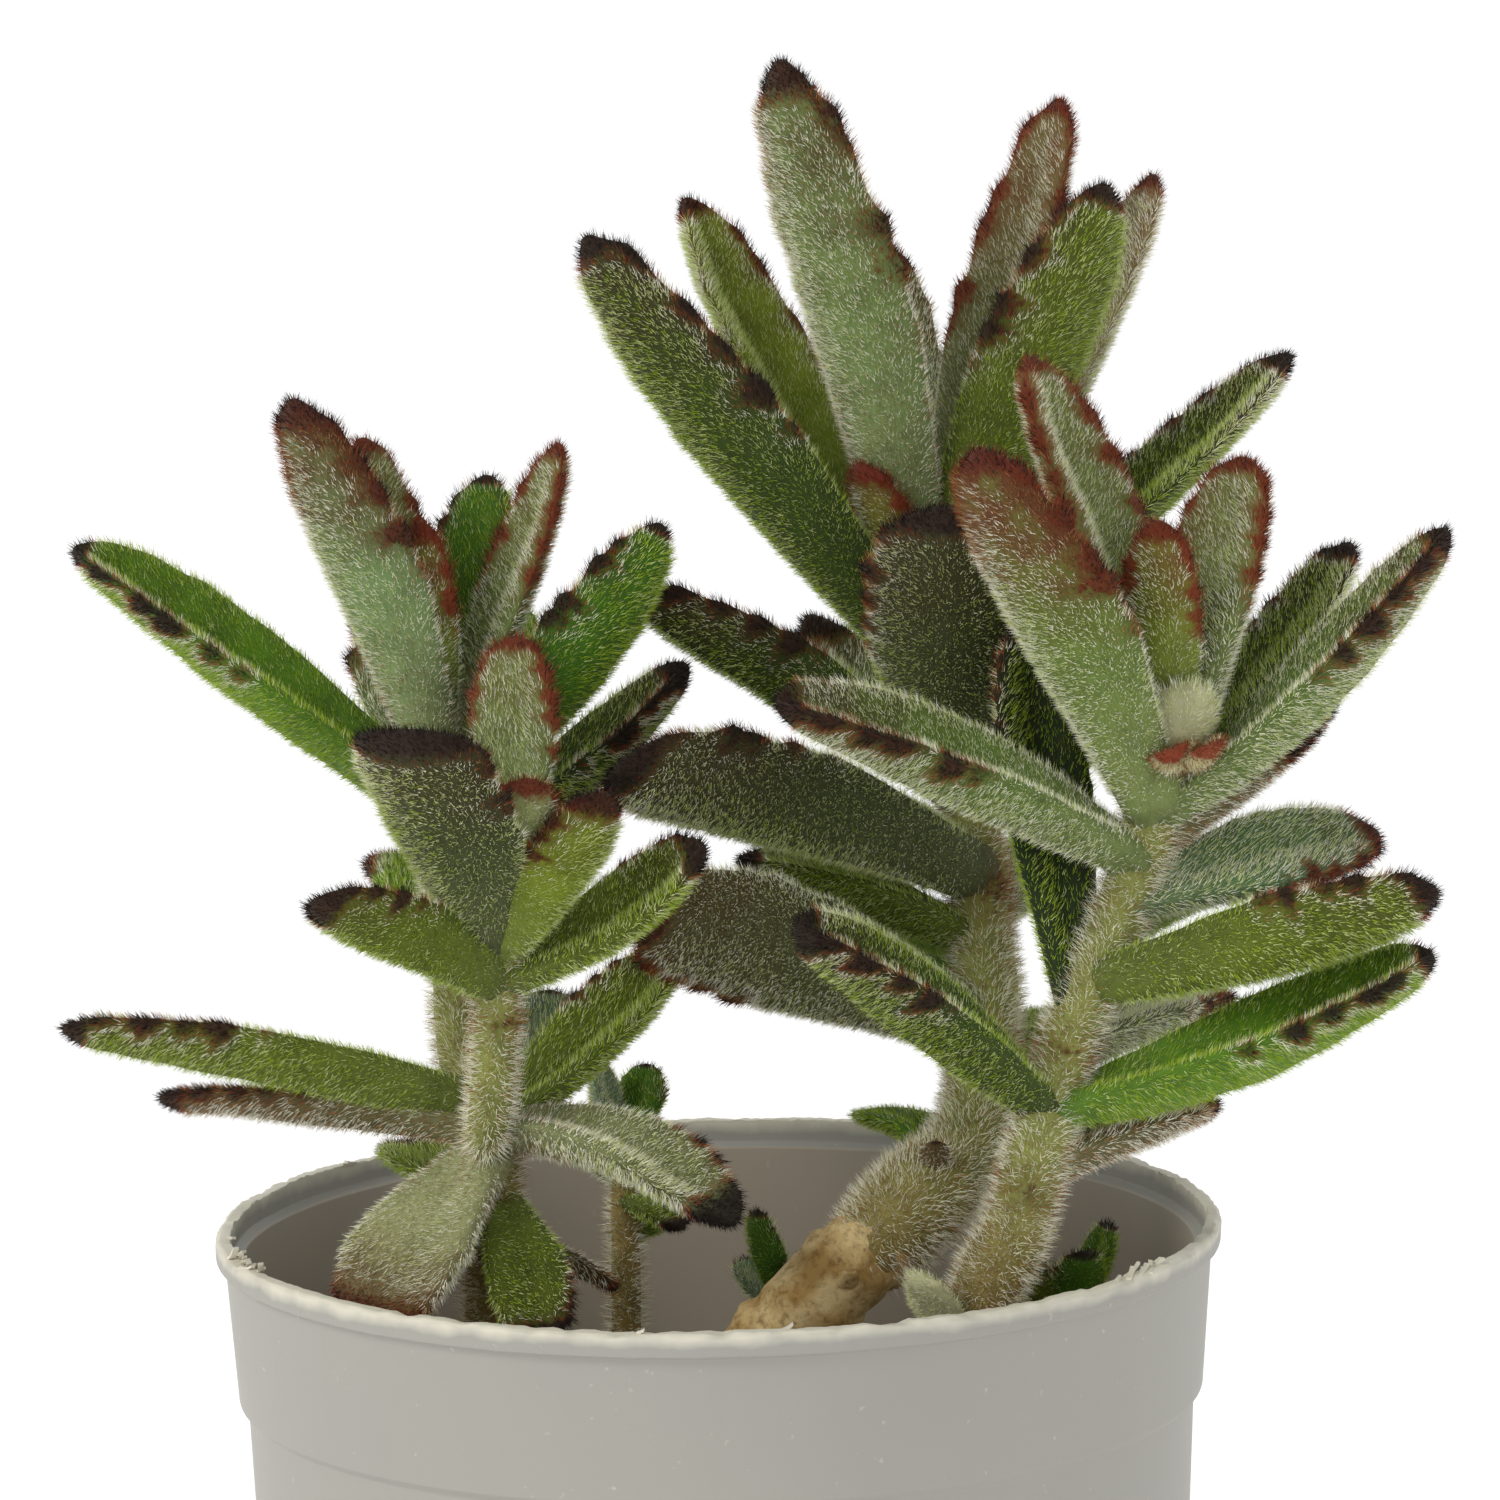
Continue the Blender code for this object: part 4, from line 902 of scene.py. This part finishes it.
def pot_profile():
    """The pot's section as (radius, height), from the middle of its foot round to the middle of its floor."""
    lip, step = POT_TOP - LIP_HEIGHT, POT_TOP - COLLAR_HEIGHT
    inner_top = COLLAR_TOP_RADIUS - WALL
    floor_radius = BASE_RADIUS + (BODY_TOP_RADIUS - BASE_RADIUS) * FLOOR / step - WALL - WALL_THICKENING
    return (
        (0.0, 0.0), (DRAIN_CIRCLE, 0.0), (BASE_RADIUS - EDGE, 0.0), (BASE_RADIUS, EDGE),
        (BODY_TOP_RADIUS, step - EDGE), (COLLAR_LOW_RADIUS, step + EDGE),
        (COLLAR_TOP_RADIUS, lip), (RIM_RADIUS, lip + EDGE), (RIM_RADIUS + 0.02, POT_TOP - 0.9),
        (RIM_RADIUS, POT_TOP - EDGE), (RIM_RADIUS - EDGE, POT_TOP), (inner_top + 1.6, POT_TOP),
        (inner_top + 1.0, POT_TOP), (inner_top + 0.9, lip + 0.3), (inner_top - 0.1, lip - 0.2),
        (COLLAR_LOW_RADIUS - WALL, step + 3.0), (BODY_TOP_RADIUS - WALL, step - 4.0),
        (floor_radius, FLOOR + 0.8), (floor_radius - 0.8, FLOOR), (0.0, FLOOR),
    )


def wear_rim(vertex):
    """Moves a corner of the rim, so that its edge is wavy and torn."""
    high = min((vertex.co.z / MM - (POT_TOP - LIP_HEIGHT - 0.2)) / LIP_HEIGHT, 1.0)
    if high <= 0 or vertex.co.xy.length < 45 * MM:
        return
    outward = Vector((*vertex.co.normalized().xy, 0)).normalized()
    place = vertex.co / MM
    slow = noise.noise(place * 0.11)
    torn = max(0.0, noise.noise(place * 0.42 + Vector((7, 3, 1))) - 0.10)
    grit = noise.noise(place * 1.1)
    vertex.co.z += high * (0.22 * slow + 0.16 * grit - 0.6 * torn) * MM
    vertex.co += outward * high * (0.16 * grit + 0.14 * slow) * MM


def drain_drill():
    """Six short rods where the pot's floor is drilled."""
    bm = bmesh.new()
    for i in range(DRAIN_COUNT):
        angle = 2 * math.pi * (i + 0.5) / DRAIN_COUNT
        centre = Vector((DRAIN_CIRCLE * math.cos(angle), DRAIN_CIRCLE * math.sin(angle), 0.0)) * MM
        bmesh.ops.create_cone(bm, cap_ends=True, segments=32, radius1=DRAIN_RADIUS * MM,
                              radius2=DRAIN_RADIUS * MM, depth=4 * FLOOR * MM,
                              matrix=Matrix.Translation(centre))
    return placed("drill", mesh_of(bm, "drill"))


def make_pot(plastic):
    """The moulded pot, with a torn, chipped line of flash round its rim."""
    bm = turned([(radius * MM, z * MM) for radius, z in pot_profile()], POT_SIDES, 1e-6)
    sharp = [edge for edge in bm.edges if len(edge.link_faces) == 2
             and edge.calc_face_angle() > math.radians(20)]
    bmesh.ops.bevel(bm, geom=sharp, offset=0.16 * MM, segments=2, affect="EDGES", profile=0.6)
    for vertex in bm.verts:
        wear_rim(vertex)
    mesh = mesh_of(bm, "pot_shell")
    mesh.shade_smooth()
    mesh.set_sharp_from_angle(angle=math.radians(50))
    mesh.materials.append(plastic)
    pot = placed("pot_shell", mesh)
    cutter = drain_drill()
    step = pot.modifiers.new("drains", "BOOLEAN")
    step.object, step.operation = cutter, "DIFFERENCE"
    pot.data = carried_out(pot)
    pot.modifiers.remove(step)
    bpy.data.objects.remove(cutter)
    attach(pot, "root")
    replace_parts(pot, "pot")


def make_rim_flash(plastic):
    """Curls and crumbs of torn plastic on the rim, most of them at the front left and front right."""
    rng = np.random.default_rng(5)
    skin = Skin()
    spots = [rng.normal(place, spread) for place, spread, count in FLASH_BUNCHES for _ in range(count)]
    bunched, long_ones = len(spots), FLASH_BUNCHES[0][2]
    spots += list(rng.uniform(-180, 180, FLASH_STRAYS))
    thick = np.array([0, 0, FLASH_THICKNESS / 2])
    run = np.linspace(-0.5, 0.5, 7)
    for number, degrees in enumerate(spots):
        angle = math.radians(degrees)
        out = np.array([math.cos(angle), math.sin(angle), 0.0])
        tangent = np.array([-math.sin(angle), math.cos(angle), 0.0])
        length = rng.uniform(1.8, 3.2) if number < long_ones else rng.uniform(0.7, 1.8)
        breadth = rng.uniform(0.35, 0.6)
        curl = rng.uniform(0.2, 0.9) * (1.0 if number < bunched else 0.4)
        tilt = rng.uniform(-0.6, 0.6)
        centre = out * (RIM_RADIUS - 1.1 + rng.uniform(-0.5, 0.5)) + np.array([0, 0, POT_TOP - 0.05])
        line = centre + (tangent + out * tilt) * (run * length)[:, None]
        line[:, 2] += curl * (0.5 + run) ** 2 * 1.4
        beside = out * breadth / 2
        grid = np.stack([line + beside + thick, line - beside + thick, line - beside - thick,
                         line + beside - thick], axis=1)
        skin.add(grid, line[0], line[-1], {})
    mesh = skin.mesh("rim_flash", plastic)
    mesh.shade_flat()
    shown("rim_flash", mesh)


def make_soil(mix):
    """Potting mix with a lumpy top and loose crumbs."""
    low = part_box("soil")[0]
    bottom, radius = low[2] / MM, -low[0] / MM
    section = [(radius - 4.2, bottom), (radius - 2.8, bottom + 1.6), (radius - 0.05, SOIL_TOP - 1.0)]
    section += [((radius - 0.9) * (1 - i / SOIL_RINGS), SOIL_TOP) for i in range(SOIL_RINGS)]
    theta = round_angles(SOIL_SIDES)
    grid = np.zeros((len(section), len(theta), 3))
    for i, (radius, z) in enumerate(section):
        for k, angle in enumerate(theta):
            place = Vector((radius * math.cos(angle), radius * math.sin(angle), z))
            if z == SOIL_TOP:
                place.z += 0.9 * noise.noise(place * 0.16) + 0.55 * noise.noise(place * 0.6) \
                    + 0.35 * noise.noise(place * 1.6)
            grid[i, k] = place
    skin = Skin()
    skin.add(grid, (0, 0, bottom), (0, 0, SOIL_TOP), {})
    mesh = skin.mesh("soil_mix", mix)
    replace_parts(shown("soil_mix", mesh), "soil")
    grown("soil_crumbs", mesh, crumb_tree(plain_materials(CRUMBS, 0.95, 0.2)),
          {"Crumbs per square metre": CRUMBS_PER_MM2 / MM ** 2, "Size": CRUMB_SIZE * MM, "Seed": 2})


def white_studio_paper():
    """Matt white paper. Away from the pot it is black but glows, so it stays plain white and takes no
    shadow. The glow is only seen: it isn't sampled as a lamp."""
    made, tree, shader = material("white_studio_paper", {"Roughness": 0.9, "Emission Color": (1, 1, 1, 1)})
    place = add(tree, "ShaderNodeTexCoord").outputs["Object"]
    far = add(tree, "ShaderNodeVectorMath", {0: place}, operation="LENGTH")
    lit = add(tree, "ShaderNodeMapRange", (far, SHADED_TO, GLOWING_FROM), interpolation_type="SMOOTHSTEP")
    paint = add(tree, "ShaderNodeMix", {0: lit, 6: linear("D8D8D6"), 7: linear("000000")}, data_type="RGBA")
    glow = add(tree, "ShaderNodeMapRange", {0: lit, 3: 0.52, 4: 1.0})
    feed(tree, shader, {"Base Color": paint, "Emission Strength": glow})
    made.cycles.emission_sampling = "NONE"
    return made


def make_stage():
    """A white floor that curves up into a round backdrop, far from the plant."""
    profile = [(0.0, 0.0), (FLOOR_RADIUS, 0.0)]
    profile += [(FLOOR_RADIUS + CURVE_RADIUS * math.sin(a), CURVE_RADIUS - CURVE_RADIUS * math.cos(a))
                for a in np.linspace(0.15, math.pi / 2, 12)]
    profile.append((FLOOR_RADIUS + CURVE_RADIUS, WALL_TOP))
    bm = turned(profile, 96, 1e-5)
    bmesh.ops.reverse_faces(bm, faces=bm.faces)
    mesh = mesh_of(bm, "studio_floor")
    mesh.shade_smooth()
    mesh.materials.append(white_studio_paper())
    placed("studio_floor", mesh)


def make_lights():
    """Even white surroundings, a large soft lamp high on the left and a weak cooler one on the right."""
    world = bpy.data.worlds.new("studio")
    bpy.context.scene.world = world
    world.use_nodes = True
    feed(world.node_tree, world.node_tree.nodes["Background"],
         {"Color": (1.0, 1.0, 1.0, 1.0), "Strength": 0.45})
    for name, place, size, power, colour in LAMPS:
        lamp = bpy.data.lights.new(name, "AREA")
        lamp.size, lamp.energy, lamp.color = size, power, colour
        stand = placed(name, lamp)
        stand.location = place
        stand.rotation_euler = (Vector(LAMPS_AIM) - Vector(place)).to_track_quat("-Z", "Y").to_euler()


def make_camera():
    """Puts the camera where the middle of the pot's rim falls on its pixel."""
    forward = Vector((0, math.cos(PITCH), -math.sin(PITCH)))
    level = Vector((1, 0, 0))
    over = level.cross(forward)
    right = level * math.cos(ROLL) - over * math.sin(ROLL)
    up = over * math.cos(ROLL) + level * math.sin(ROLL)
    per_mm = IMAGE * LENS / SENSOR / CAMERA_DISTANCE
    aim = (right * ((RIM_PIXEL[0] - IMAGE / 2) / per_mm) - up * ((RIM_PIXEL[1] - IMAGE / 2) / per_mm))
    place = Vector((0, 0, POT_TOP)) - aim - forward * CAMERA_DISTANCE
    lens = bpy.data.cameras.new("camera")
    lens.lens, lens.sensor_width, lens.clip_end = LENS, SENSOR, 20.0
    camera = placed("camera", lens)
    turn = Matrix((right, up, -forward)).transposed().to_4x4()
    camera.matrix_world = Matrix.Translation(place * MM) @ turn
    bpy.context.scene.camera = camera


def main():
    bpy.context.scene.view_settings.view_transform = "Standard"
    make_camera()
    make_stage()
    make_lights()
    plastic = moulded_polypropylene()
    make_pot(plastic)
    make_rim_flash(plastic)
    make_soil(potting_mix())
    make_trunk(corky_bark())
    skin_material = furry_leaf_skin()
    tree = hair_tree(plain_materials(HAIR_KINDS, 0.6, 0.3))
    for number, name in enumerate(STEMS):
        leafy_stem(name, skin_material, tree, number + 1)


main()
